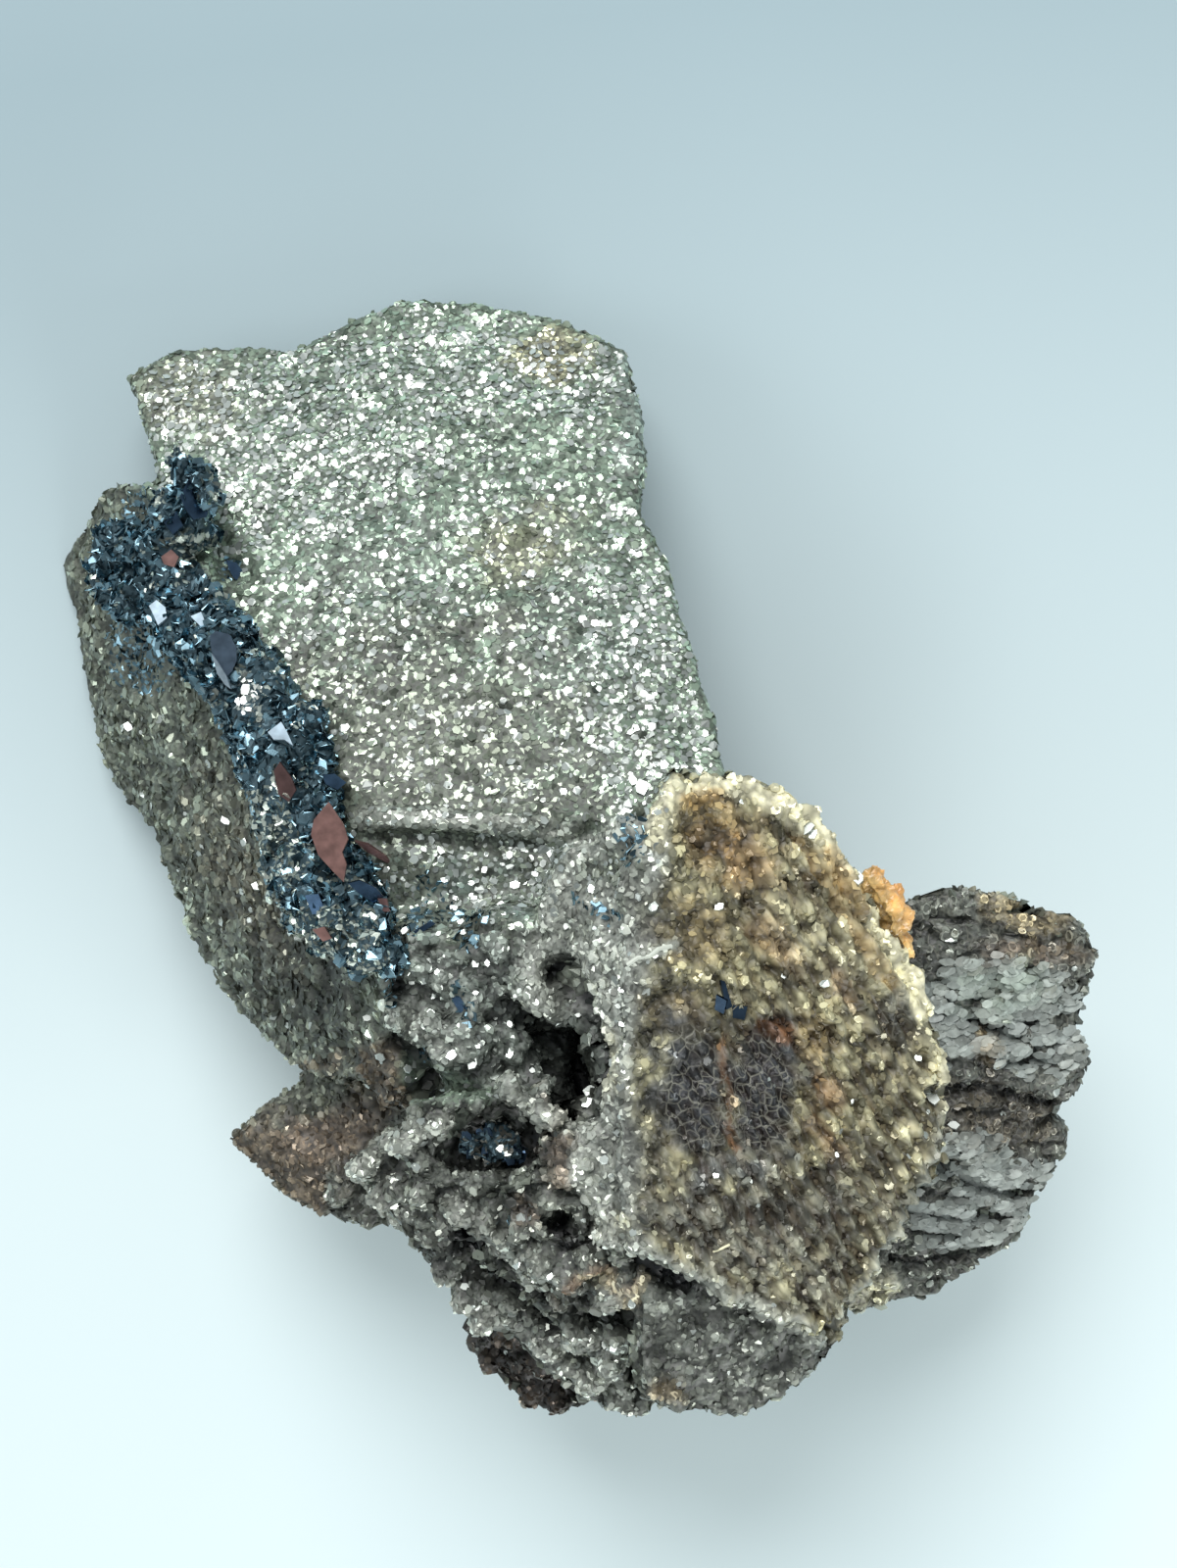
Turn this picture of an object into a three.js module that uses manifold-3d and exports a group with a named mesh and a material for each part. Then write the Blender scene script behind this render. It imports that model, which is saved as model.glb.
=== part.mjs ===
// A hematite specimen: thin drusy mineral plates grown together in a cluster, with a crust of
// blue-black hematite blades along the crest where two of the plates meet.
// It lies on the flat face where it broke from the rock. Millimetres, +Z up; the origin is the
// middle of that resting face.

import * as THREE from "three";
import Module from "manifold-3d";
import { mergeVertices } from "three/addons/utils/BufferGeometryUtils.js";

const wasm = await Module();
wasm.setup();

// The outlines of the upper plates are written as they look to an eye straight above the specimen:
// each point is (right, up) in millimetres from the line of sight, true to size at TRACE_HEIGHT.
const EYE = new THREE.Vector3(1, 10, 225);
const TRACE_HEIGHT = 25;

const SEAT_GAP = 0.3; // space between a mineral and the plates that it sits on
const RIM_BLUNTNESS = 0.45; // how far the middle of a plate's rim stands out past its faces
const RAGGED = 0.6; // how far a rim wanders in and out
const LUMP = 0.45; // height of the low swells on a plate's faces
const RINGS = [0.42, 0.78, 1]; // where the rows of points on a plate's upper face lie
const UNDER_RINGS = [0.6, 1]; // and on its underside

const COLOURS = {
  druse: { color: 0x77756a, roughness: 0.42, metalness: 0.15 },
  hematite: { color: 0x1c2733, roughness: 0.22, metalness: 0.9 },
  ironStained: { color: 0xa8662c, roughness: 0.45, metalness: 0 },
};

// Low swells that make a natural surface uneven, from -1 to 1
function swell(p, seed) {
  return (
    (Math.sin(p.x * 0.34 + seed) * Math.sin(p.y * 0.39 - seed * 1.7) +
      Math.sin(p.x * 0.57 - p.y * 0.41 + seed * 2.3) +
      Math.sin(p.y * 0.63 + p.z * 0.45 + seed * 0.6)) /
    3
  );
}

// A closed solid from a grid of rows of points, each row a loop, with a point at each end
function closedSolid(first, rows, last) {
  const around = rows[0].length;
  const points = [first, ...rows.flat(), last];
  const faces = [];
  const at = (row, i) => 1 + row * around + (i % around);
  for (let i = 0; i < around; i++) {
    faces.push(0, at(0, i), at(0, i + 1));
    for (let row = 0; row + 1 < rows.length; row++) {
      faces.push(at(row, i), at(row + 1, i), at(row + 1, i + 1));
      faces.push(at(row, i), at(row + 1, i + 1), at(row, i + 1));
    }
    const end = rows.length - 1;
    faces.push(points.length - 1, at(end, i + 1), at(end, i));
  }
  return new wasm.Manifold(
    new wasm.Mesh({
      numProp: 3,
      vertProperties: new Float32Array(points.flatMap((p) => p.toArray())),
      triVerts: new Uint32Array(faces),
    }),
  );
}

function solidFromGeometry(geometry) {
  const bare = geometry.clone();
  bare.deleteAttribute("normal");
  bare.deleteAttribute("uv");
  const merged = mergeVertices(bare, 1e-3);
  return new wasm.Manifold(
    new wasm.Mesh({
      numProp: 3,
      vertProperties: new Float32Array(merged.attributes.position.array),
      triVerts: new Uint32Array(merged.index.array),
    }),
  );
}

// Where the line of sight through a traced point comes down to a height
function sightedAt([u, v], height) {
  const scale = (EYE.z - height) / (EYE.z - TRACE_HEIGHT);
  return new THREE.Vector3(EYE.x + u * scale, EYE.y + v * scale, height);
}

// The slope of a plate: its height at the traced point `centre`, and how fast it climbs to the
// right and upwards as traced
function planeOf({ centre, height, climbRight, climbUp }) {
  const middle = sightedAt(centre, height);
  const normal = new THREE.Vector3(-climbRight, -climbUp, 1).normalize();
  const right = new THREE.Vector3(1, 0, climbRight).normalize();
  const up = new THREE.Vector3().crossVectors(normal, right);
  return { middle, normal, right, up };
}

// Where the line of sight through a traced point meets a plane
function sighted([u, v], plane) {
  const along = new THREE.Vector3(u, v, TRACE_HEIGHT - EYE.z);
  const distance =
    plane.middle.clone().sub(EYE).dot(plane.normal) / along.dot(plane.normal);
  return EYE.clone().addScaledVector(along, distance);
}

// An upright or hidden plate's own plane, from its middle and the way that its face looks
function planeFacing([x, y, z], azimuthDeg, tiltDeg) {
  const azimuth = THREE.MathUtils.degToRad(azimuthDeg);
  const tilt = THREE.MathUtils.degToRad(tiltDeg);
  const normal = new THREE.Vector3(
    Math.cos(azimuth) * Math.cos(tilt),
    Math.sin(azimuth) * Math.cos(tilt),
    Math.sin(tilt),
  );
  const right = new THREE.Vector3(-Math.sin(azimuth), Math.cos(azimuth), 0);
  const up = new THREE.Vector3().crossVectors(normal, right);
  return { middle: new THREE.Vector3(x, y, z), normal, right, up };
}

// A broken-edged outline about a middle, for plates that the others hide
function roughOutline(halfWidth, halfHeight, seed, corners = 9) {
  return Array.from({ length: corners }, (_, i) => {
    const turn = (i / corners) * Math.PI * 2;
    const reach = 1 + 0.13 * Math.sin(turn * 3 + seed) + 0.08 * Math.sin(turn * 5 - seed);
    return new THREE.Vector2(
      halfWidth * reach * Math.cos(turn),
      halfHeight * reach * Math.sin(turn),
    );
  });
}

const loopOf = (count, point) => Array.from({ length: count }, (_, i) => point(i));

// A plate's middle surface. `at(i, share)` is the point on spoke i, that share of the way from the
// hub to the rim; `past` goes on beyond it by so many millimetres. Bows and folds move its points
// along the line of sight, so its outline still looks as it was traced.
function middleSurface({ plane, outline, around, seed, bow = 0, folds = [] }) {
  const { middle, normal, right, up } = plane;
  const curve = new THREE.CatmullRomCurve3(
    outline.map((p) => new THREE.Vector3(p.x, p.y, 0)),
    true,
    "catmullrom",
    0.4,
  );
  const edge = curve.getSpacedPoints(around).slice(0, around);
  if (THREE.ShapeUtils.isClockWise(edge)) edge.reverse();
  const hub = edge
    .reduce((sum, p) => sum.add(p), new THREE.Vector3())
    .divideScalar(around);
  const span = Math.max(...edge.map((p) => p.distanceTo(hub)));

  const placed = (flat) => {
    const spot = middle.clone().addScaledVector(right, flat.x).addScaledVector(up, flat.y);
    let lift = bow * (flat.distanceTo(hub) / span) ** 2;
    for (const { from, to, slope } of folds) {
      const across = new THREE.Vector2(to[1] - from[1], from[0] - to[0]).normalize();
      const beyond = (spot.x - from[0]) * across.x + (spot.y - from[1]) * across.y;
      lift += slope * Math.max(0, beyond);
    }
    const toEye = EYE.clone().sub(spot).normalize();
    return spot.addScaledVector(toEye, lift / toEye.dot(normal));
  };
  const at = (i, share, past = 0) => {
    const out = edge[i].clone().sub(hub);
    const wander = RAGGED * Math.sin(i * 2.4 + seed) * Math.sin(i * 0.9 + seed * 2);
    const length = (out.length() + wander) * share + past;
    return placed(hub.clone().addScaledVector(out.normalize(), length));
  };
  return { at, hub: placed(hub) };
}

// One mineral plate: a slab about its plane, thick in the middle, with a ragged blunt rim.
// `grow` swells it on every side, for cutting the space between it and what sits on it.
function plate(form, grow = 0) {
  const { plane, thick, rim, around, seed } = form;
  const surface = middleSurface(form);
  const facePoint = (i, share, side) => {
    const spot = surface.at(i, share, grow * share);
    const thickness = rim + (thick - rim) * (1 - share ** 3);
    const uneven = LUMP * swell(spot, seed + side) * (1.15 - share);
    return spot.addScaledVector(plane.normal, side * (thickness / 2 + grow + uneven));
  };
  const hubPoint = (side) =>
    surface.hub.clone().addScaledVector(plane.normal, side * (thick / 2 + grow));
  const rows = [
    ...RINGS.map((share) => loopOf(around, (i) => facePoint(i, share, 1))),
    loopOf(around, (i) => surface.at(i, 1, grow + RIM_BLUNTNESS)),
    ...UNDER_RINGS.toReversed().map((share) => loopOf(around, (i) => facePoint(i, share, -1))),
  ];
  return closedSolid(hubPoint(1), rows, hubPoint(-1));
}

// The form of a plate seen from above, from its traced outline
function fromTrace({ lie, trace, ...form }) {
  const plane = planeOf(lie);
  const outline = trace.map((point) => {
    const from = sighted(point, plane).sub(plane.middle);
    return new THREE.Vector2(from.dot(plane.right), from.dot(plane.up));
  });
  return { plane, outline, ...form };
}

const tracedPlate = (form, grow) => plate(fromTrace(form), grow);

// The space over a plate on the way to the eye, down to the plate's middle surface
function spaceAbove(form) {
  const surface = middleSurface(fromTrace(form));
  const raised = (spot) => spot.lerp(EYE, 0.3);
  const rows = [
    loopOf(form.around, (i) => raised(surface.at(i, 1))),
    ...UNDER_RINGS.toReversed().map((share) => loopOf(form.around, (i) => surface.at(i, share))),
  ];
  return closedSolid(raised(surface.hub.clone()), rows, surface.hub);
}

// The plates that show from above

const BACK_PLATE = {
  lie: { centre: [-11, 13], height: 17.5, climbRight: 0.06, climbUp: -0.4 },
  trace: [
    [-30.8, 27], [-28.4, 28.9], [-20.5, 29.2], [-17, 30], [-14, 32.3], [-8, 31.9], [-3, 31.5],
    [2, 29.6], [3, 26], [4, 20.5], [3.8, 17.5], [5.8, 13], [6.4, 9], [8.8, 4.5], [9, -1],
    [6.8, -3.6], [2.4, -3.2], [-3, -2.6], [-8, -3], [-12, -2.4], [-15.4, -1.8], [-17.8, 1],
    [-20.6, 6], [-24.6, 12.5], [-28, 19], [-29.4, 23],
  ],
  thick: 3.2,
  rim: 1.6,
  around: 32,
  seed: 0.4,
  bow: -0.8,
  folds: [{ from: [20, 7], to: [-30, 9], slope: -0.12 }],
};

const FACET_BELOW_BACK = {
  lie: { centre: [-5, -7], height: 22.3, climbRight: 0.02, climbUp: 0.02 },
  trace: [
    [-16.4, -1], [-10, 0.5], [-2, 0.5], [5.5, -0.5], [7, -6], [3.5, -11.5], [-3, -13.5],
    [-10, -13], [-13.4, -9],
  ],
  thick: 2.8,
  rim: 1.6,
  around: 16,
  seed: 1.1,
};

const LEFT_PLATE = {
  lie: { centre: [-26, 2], height: 11.5, climbRight: 1.25, climbUp: 0.18 },
  trace: [
    [-29.6, 20.4], [-31.4, 19.8], [-34.2, 17], [-35, 13.5], [-33.8, 10], [-32.8, 5], [-32.2, 1.5],
    [-30.7, -1], [-28.2, -4.8], [-26.5, -9], [-25.4, -12.2], [-22.8, -15.8], [-19.8, -18.8],
    [-16, -20], [-13, -18.5], [-12.6, -13], [-15.8, -7.5], [-18.4, -1], [-21.4, 6], [-24.6, 12.5],
    [-27, 18.2],
  ],
  thick: 3,
  rim: 1.6,
  around: 26,
  seed: 1.9,
};

const FRONT_DISC = {
  lie: { centre: [12, -19], height: 32, climbRight: -0.28, climbUp: 0.03 },
  trace: [
    [5.8, 0.7], [9.5, 0.8], [12, 0.1], [15.3, -2.5], [18.2, -6.1], [19.8, -9.4], [22.4, -14.6],
    [24, -19], [24.4, -21.6], [23.4, -25], [21, -29.5], [18.6, -33.4], [16.6, -36.3], [13, -35.7],
    [8.5, -33.8], [3.8, -31.5], [1.8, -28.9], [2, -24], [2.2, -18], [2.2, -12], [2.4, -6], [3.6, -2],
  ],
  thick: 2.9,
  rim: 1.4,
  around: 32,
  seed: 3.1,
  bow: -0.6,
};

const BAND_LEFT_OF_DISC = {
  lie: { centre: [1.5, -15], height: 31.2, climbRight: 0.85, climbUp: 0.05 },
  trace: [
    [4.6, -0.8], [3.2, -2], [1.2, -3.7], [-1.8, -5], [-3.2, -7.6], [-3.7, -10.3], [-2.2, -12.2],
    [-0.9, -15.4], [-0.4, -20], [-1.2, -25], [0, -28.9], [3.4, -31.4], [4, -29], [4, -23],
    [4, -16], [4.2, -9], [4.8, -4],
  ],
  thick: 2.8,
  rim: 1.6,
  around: 22,
  seed: 10.6,
};

const STEP_UNDER_DISC = {
  lie: { centre: [8, -34], height: 29.8, climbRight: -0.26, climbUp: 0.04 },
  trace: [
    [1, -30], [2.6, -33.4], [3.4, -37.4], [3.7, -41.9], [9.8, -42.1], [13.5, -40.6], [16, -38.8],
    [17.2, -36], [18, -31], [14, -24], [7, -21], [1, -24],
  ],
  thick: 3,
  rim: 1.6,
  around: 22,
  seed: 4.2,
};

const UPPER_STEP = {
  lie: { centre: [0, -31], height: 29.4, climbRight: 0.06, climbUp: 0.3 },
  trace: [
    [-5.6, -25.4], [-2.6, -23.6], [1, -25.5], [4, -30], [7, -33], [4.6, -36.4], [3.3, -39.2],
    [1, -37.2], [-1.8, -34.5], [-4.2, -31.8], [-6, -28.7],
  ],
  thick: 2.6,
  rim: 1.5,
  around: 18,
  seed: 2.9,
};

const MIDDLE_STEP = {
  lie: { centre: [-5, -31], height: 26.6, climbRight: -0.06, climbUp: 0.24 },
  trace: [
    [-11.2, -21.4], [-13, -23.8], [-12.5, -26.8], [-10.6, -29.2], [-7.8, -31.6], [-4.5, -34.5],
    [-1.3, -37.4], [1.8, -40], [3.2, -41.4], [5.5, -40], [6, -33], [2, -26], [-4, -21],
  ],
  thick: 2.6,
  rim: 1.5,
  around: 22,
  seed: 5.6,
};

const LOW_STEP = {
  lie: { centre: [-6, -33], height: 23.2, climbRight: -0.02, climbUp: 0.26 },
  trace: [
    [-15.2, -25.2], [-14.2, -27.8], [-12.8, -30.2], [-10.4, -32.6], [-8.2, -35], [-5, -37.8],
    [-2, -40], [1.2, -41.6], [4.2, -42.1], [6.4, -39], [4, -31], [-2, -25], [-8, -22], [-13, -22.8],
  ],
  thick: 3,
  rim: 1.6,
  around: 24,
  seed: 6.3,
};

const LOW_LEFT_PLATE = {
  lie: { centre: [-17, -24], height: 13, climbRight: 0.45, climbUp: -0.1 },
  trace: [
    [-24.4, -23.9], [-22.2, -22], [-19.6, -20.2], [-17, -18.9], [-13, -18], [-9, -20],
    [-8, -25], [-11, -29], [-14.4, -29.6], [-17.4, -29.2], [-21, -26.8], [-23, -25],
  ],
  thick: 3,
  rim: 1.6,
  around: 18,
  seed: 8.8,
};

const RIGHT_PLATE = {
  lie: { centre: [27, -16], height: 18, climbRight: -0.12, climbUp: 0.14 },
  trace: [
    [18.5, -9.8], [21.4, -8.1], [24.5, -7], [27.2, -6.9], [30.6, -8.7], [32.8, -9.4], [34.3, -11.6],
    [34.1, -13.1], [32.9, -14], [33, -17.2], [33.3, -19.5], [33, -21.2], [30.6, -22.6], [25, -25],
    [18, -25.4], [12.5, -21], [13, -14],
  ],
  thick: 3,
  rim: 1.5,
  around: 26,
  seed: 9.9,
};

const LOW_RIGHT_PLATE = {
  lie: { centre: [24, -28], height: 14.6, climbRight: -0.12, climbUp: 0.16 },
  trace: [
    [29, -20.5], [31.4, -22], [32.1, -24], [30.9, -27], [29.2, -29.2], [26.4, -32], [23.6, -34],
    [20, -35.1], [17.6, -35.3], [14.5, -33], [11.5, -28], [12.5, -21], [20, -18],
  ],
  thick: 2.8,
  rim: 1.4,
  around: 22,
  seed: 11.1,
};

const FOOT_PLATE = {
  lie: { centre: [-2.5, -38.5], height: 13, climbRight: 0.1, climbUp: 0.2 },
  trace: [
    [-8.2, -36.4], [-7, -38.6], [-6.2, -40.4], [-5.2, -41.8], [-1, -41.9], [2.6, -40.5], [5, -33],
    [3, -24], [-6, -24], [-8, -30],
  ],
  thick: 3.2,
  rim: 1.8,
  around: 15,
  seed: 12.2,
};

const TRACED_PLATES = [
  BACK_PLATE, FACET_BELOW_BACK, LEFT_PLATE, FRONT_DISC, BAND_LEFT_OF_DISC, STEP_UNDER_DISC,
  UPPER_STEP, MIDDLE_STEP, LOW_STEP, LOW_LEFT_PLATE, RIGHT_PLATE, LOW_RIGHT_PLATE, FOOT_PLATE,
];

// The rounded masses between the plates: `at` is traced, `height` is that of the lump's middle

const LUMPS = [
  { at: [-10, -12.6], height: 23.6, radii: [5.4, 4.6, 4.6], seed: 1.4, detail: 1 },
  { at: [-5.2, -11.6], height: 25.4, radii: [4.8, 4.4, 4.4], seed: 3.7, detail: 1 },
  { at: [-12.2, -17.6], height: 22, radii: [3.8, 4.8, 4.8], seed: 5.2, detail: 1 },
  { at: [-7.6, -17], height: 24.4, radii: [5, 4.8, 4.2], seed: 7.1, detail: 1 },
  { at: [-3.6, -21.6], height: 26.6, radii: [4.4, 2.2, 3.4], seed: 8.6, detail: 1 },
  { at: [-3, -13], height: 27, radii: [1.7, 3.2, 2.9], seed: 4.9, detail: 1 },
];

// Open pits: the hollow above the steps, where a nest of blades grew, a small dark hole, and the
// cavity between the lumps and the band left of the disc

const HOLLOW = { at: [-6.6, -24.4], height: 29.8, radii: [3.6, 2.3, 2.9], seed: 2.4, detail: 1 };
const DARK_HOLE = { at: [-1.8, -29.4], height: 31, radii: [1.3, 1.2, 4], seed: 0.7, detail: 0 };
const CAVITY = { at: [-1.3, -20.2], height: 28, radii: [1.2, 2.6, 4.5], seed: 1.7, detail: 1 };

// The plates beneath, which carry those above down to the broken root. Each stands at `middle`
// and its face looks towards `azimuth`, leaning up by `tilt` degrees.

const HIDDEN_PLATES = [
  { middle: [9, -8, 17], azimuth: 62, tilt: 10, half: [13, 19], thick: 4.2, seed: 1.3 },
  { middle: [12, -12, 18], azimuth: 95, tilt: -8, half: [11, 18], thick: 3.8, seed: 2.6 },
  { middle: [-6, 13, 9], azimuth: 72, tilt: -14, half: [14, 9], thick: 3.6, seed: 5.1 },
  { middle: [-1, -15, 14], azimuth: -52, tilt: 8, half: [9, 14], thick: 3.8, seed: 6.4 },
  { middle: [-14, 2, 12], azimuth: 160, tilt: 34, half: [14, 9], thick: 3.4, seed: 7.2 },
  { middle: [10, -11, 25], azimuth: 40, tilt: 66, half: [10, 12], thick: 4, seed: 8.1 },
];

// The lumpy middle that all the plates grow from

const ROOT = { middle: new THREE.Vector3(0, -5, 11), radii: [13.5, 15, 14], seed: 2.2, detail: 1 };

function lump({ middle, radii, seed, detail }, grow = 0) {
  const ball = new THREE.IcosahedronGeometry(1, detail);
  const spots = ball.attributes.position;
  for (let i = 0; i < spots.count; i++) {
    const p = new THREE.Vector3().fromBufferAttribute(spots, i);
    const far = new THREE.Vector3(
      p.x * (radii[0] + grow),
      p.y * (radii[1] + grow),
      p.z * (radii[2] + grow),
    );
    far.multiplyScalar(1 + 0.08 * swell(far, seed)).add(middle);
    spots.setXYZ(i, far.x, far.y, far.z);
  }
  return solidFromGeometry(ball);
}

function tracedLump({ at, height, ...form }, grow = 0) {
  return lump({ middle: sightedAt(at, height), ...form }, grow);
}

function hiddenPlate({ middle, azimuth, tilt, half, thick, seed }) {
  return plate({
    plane: planeFacing(middle, azimuth, tilt),
    outline: roughOutline(half[0], half[1], seed),
    thick,
    rim: thick * 0.5,
    around: 9,
    seed,
  });
}

const unionOf = (solids) => solids.reduce((whole, piece) => whole.add(piece));

function largestBody(solid) {
  return solid
    .decompose()
    .reduce((best, body) => (body.volume() > best.volume() ? body : best));
}

// What stands under the traced plates is broken off where it would show above them.
function drusyPlates() {
  const floorBlock = new THREE.BoxGeometry(200, 200, 60).translate(0, 0, -30);
  const beneath = TRACED_PLATES.reduce(
    (mass, form) => mass.subtract(spaceAbove(form)),
    unionOf([lump(ROOT), ...HIDDEN_PLATES.map(hiddenPlate)]),
  );
  const grown = unionOf([
    beneath,
    ...TRACED_PLATES.map((form) => tracedPlate(form)),
    ...LUMPS.map((form) => tracedLump(form)),
  ]);
  const missing = unionOf([
    ...[HOLLOW, DARK_HOLE, CAVITY].map((form) => tracedLump(form)),
    solidFromGeometry(floorBlock),
  ]);
  return largestBody(grown.subtract(missing));
}

// Even scatter from 0 to 1, the same each time
function chance(i, k) {
  const wave = Math.sin(i * 12.9898 + k * 78.233) * 43758.5453;
  return wave - Math.floor(wave);
}

// The hematite crust lies along the crest, from traced points on the left plate's upper edge
const CREST = [
  { at: [-26.2, 20.2], halfWidth: 1.4 },
  { at: [-26.9, 18], halfWidth: 2 },
  { at: [-27.8, 15], halfWidth: 2.8 },
  { at: [-26.8, 12], halfWidth: 3.1 },
  { at: [-24.4, 9], halfWidth: 2.9 },
  { at: [-22.2, 5.8], halfWidth: 2.9 },
  { at: [-20.4, 2.4], halfWidth: 3.2 },
  { at: [-19.5, -1], halfWidth: 3.5 },
  { at: [-18.6, -4.2], halfWidth: 3.6 },
  { at: [-17.6, -7.4], halfWidth: 3.5 },
  { at: [-15.4, -9.8], halfWidth: 2.4 },
  { at: [-13.4, -11.8], halfWidth: 1.2 },
];
const CRUST_HALF_HEIGHT = 2.9;
const CRUST_RISE = 1.7; // from the middle of the left plate up to the middle of the crust
const CREST_LOBE = { at: [-30.4, 14.6], height: 11.4, radii: [3.6, 3.8, 1.7], seed: 4.4, detail: 1 };

// The largest blades as they show from above: size is length by width, turn is the long way's
// direction, and each leans by `lean` degrees towards `azimuth`
const LARGE_BLADES = [
  { at: [-17.4, -3.9], over: 2.9, size: [5.8, 2.7], turn: 112, azimuth: 200, lean: 14 },
  { at: [-24.7, 8.3], over: 2.9, size: [4.8, 2.4], turn: 116, azimuth: 60, lean: 18 },
  { at: [-20.5, 3.3], over: 2.9, size: [2.8, 2.1], turn: 130, azimuth: 40, lean: 12 },
  { at: [-19.9, -0.2], over: 2.6, size: [3.4, 2.1], turn: 124, azimuth: 190, lean: 22 },
  { at: [-15.4, -6.6], over: 2.2, size: [4.4, 2.4], turn: 128, azimuth: 30, lean: 50 },
  { at: [-26.4, 20.2], over: 1.8, size: [3.2, 2.6], turn: 60, azimuth: 20, lean: 36 },
  { at: [-29.2, 16.4], over: 4.2, size: [3, 2.2], turn: 20, azimuth: 140, lean: 40 },
];
const BLADE_THICKNESS = 0.5;
const SMALL_BLADES_EACH_STATION = 2;

function blade({ middle, size: [length, width], turn, azimuth: azimuthDeg, lean: leanDeg, sides = 6 }) {
  const azimuth = THREE.MathUtils.degToRad(azimuthDeg);
  const leaning = new THREE.Quaternion().setFromAxisAngle(
    new THREE.Vector3(-Math.sin(azimuth), Math.cos(azimuth), 0),
    THREE.MathUtils.degToRad(leanDeg),
  );
  return solidFromGeometry(
    new THREE.CylinderGeometry(0.5, 0.5, BLADE_THICKNESS, sides)
      .rotateX(Math.PI / 2)
      .scale(width, length, 1)
      .rotateZ(THREE.MathUtils.degToRad(turn - 90))
      .applyQuaternion(leaning)
      .translate(middle.x, middle.y, middle.z),
  );
}

function crustBed(spine) {
  const rows = spine.map((middle, i) => {
    const before = spine[Math.max(i - 1, 0)];
    const after = spine[Math.min(i + 1, spine.length - 1)];
    const along = after.clone().sub(before).normalize();
    const across = along.clone().cross(new THREE.Vector3(0, 0, 1)).normalize();
    const up = across.clone().cross(along);
    return loopOf(8, (k) => {
      const turn = (k / 8) * Math.PI * 2;
      const reach = 0.86 + 0.28 * chance(i, k);
      return middle
        .clone()
        .addScaledVector(across, Math.cos(turn) * CREST[i].halfWidth * reach)
        .addScaledVector(up, Math.sin(turn) * CRUST_HALF_HEIGHT * reach);
    });
  });
  const beyond = (end, inner) => end.clone().add(end.clone().sub(inner).setLength(0.8));
  return closedSolid(beyond(spine[0], spine[1]), rows, beyond(spine.at(-1), spine.at(-2)));
}

function hematiteCrust() {
  const leftPlane = planeOf(LEFT_PLATE.lie);
  const crestPoint = (at, over) => sighted(at, leftPlane).add(new THREE.Vector3(0, 0, over));
  const spine = CREST.map(({ at }) => crestPoint(at, CRUST_RISE));
  const large = LARGE_BLADES.map(({ at, over, ...form }) =>
    blade({ middle: crestPoint(at, CRUST_RISE + over), ...form }),
  );
  const small = spine.flatMap((middle, i) =>
    loopOf(SMALL_BLADES_EACH_STATION, (k) => {
      const side = k * 2 - 1 + 0.8 * (chance(i, k) - 0.5);
      const off = new THREE.Vector3(
        side * CREST[i].halfWidth * 0.62,
        (chance(k, i + 9) - 0.5) * 3,
        CRUST_HALF_HEIGHT * (1.1 - 0.45 * side * side),
      );
      const long = 2.6 + 1.6 * chance(i + 5, k);
      return blade({
        middle: middle.clone().add(off),
        size: [long, long * 0.7],
        turn: 360 * chance(i, k + 3),
        azimuth: 360 * chance(i + 2, k),
        lean: 35 + 50 * chance(i, k + 7),
        sides: 4,
      });
    }),
  );
  const seats = [
    ...[LEFT_PLATE, BACK_PLATE, FACET_BELOW_BACK].map((form) => tracedPlate(form, SEAT_GAP)),
    ...LUMPS.map((form) => tracedLump(form, SEAT_GAP)),
  ];
  const whole = unionOf([crustBed(spine), tracedLump(CREST_LOBE), ...large, ...small]);
  return largestBody(whole.subtract(unionOf(seats)));
}

const NEST_BLADES = 4;

// The nest of blades on the floor of the hollow
function hollowHematite() {
  const middle = sightedAt(HOLLOW.at, HOLLOW.height - HOLLOW.radii[2] + 0.7);
  const bed = lump({ middle, radii: [2.8, 1.9, 1.1], seed: 9.4, detail: 0 });
  const blades = loopOf(NEST_BLADES, (i) => {
    const turn = (i / NEST_BLADES) * Math.PI * 2;
    const off = new THREE.Vector3(Math.cos(turn) * 1.5, Math.sin(turn) * 0.8, 0.9);
    return blade({
      middle: off.add(middle),
      size: [2.3, 1.6],
      turn: 360 * chance(i, 1),
      azimuth: 360 * chance(i, 2),
      lean: 25 + 50 * chance(i, 3),
      sides: 4,
    });
  });
  return largestBody(unionOf([bed, ...blades]).intersect(tracedLump(HOLLOW, -SEAT_GAP)));
}

// The iron-stained crystal: blocky prisms side by side, leaning on the front disc's rim
const STAINED_PRISMS = [
  { at: [19.2, -7.1], height: 29.8, radius: 1.3, long: 2.2, turn: -52 },
  { at: [20.1, -8.9], height: 29.4, radius: 1.7, long: 2.8, turn: -60 },
  { at: [20.8, -10.8], height: 29, radius: 1.3, long: 2.4, turn: -66 },
];

function stainedCrystal() {
  const prisms = STAINED_PRISMS.map(({ at, height, radius, long, turn }) => {
    const spot = sightedAt(at, height);
    return solidFromGeometry(
      new THREE.CylinderGeometry(radius * 0.72, radius, long, 6)
        .rotateZ(-Math.PI / 2)
        .rotateX(0.4)
        .rotateZ(THREE.MathUtils.degToRad(turn))
        .translate(spot.x, spot.y, spot.z),
    );
  });
  return largestBody(unionOf(prisms).subtract(tracedPlate(FRONT_DISC, SEAT_GAP)));
}

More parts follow.
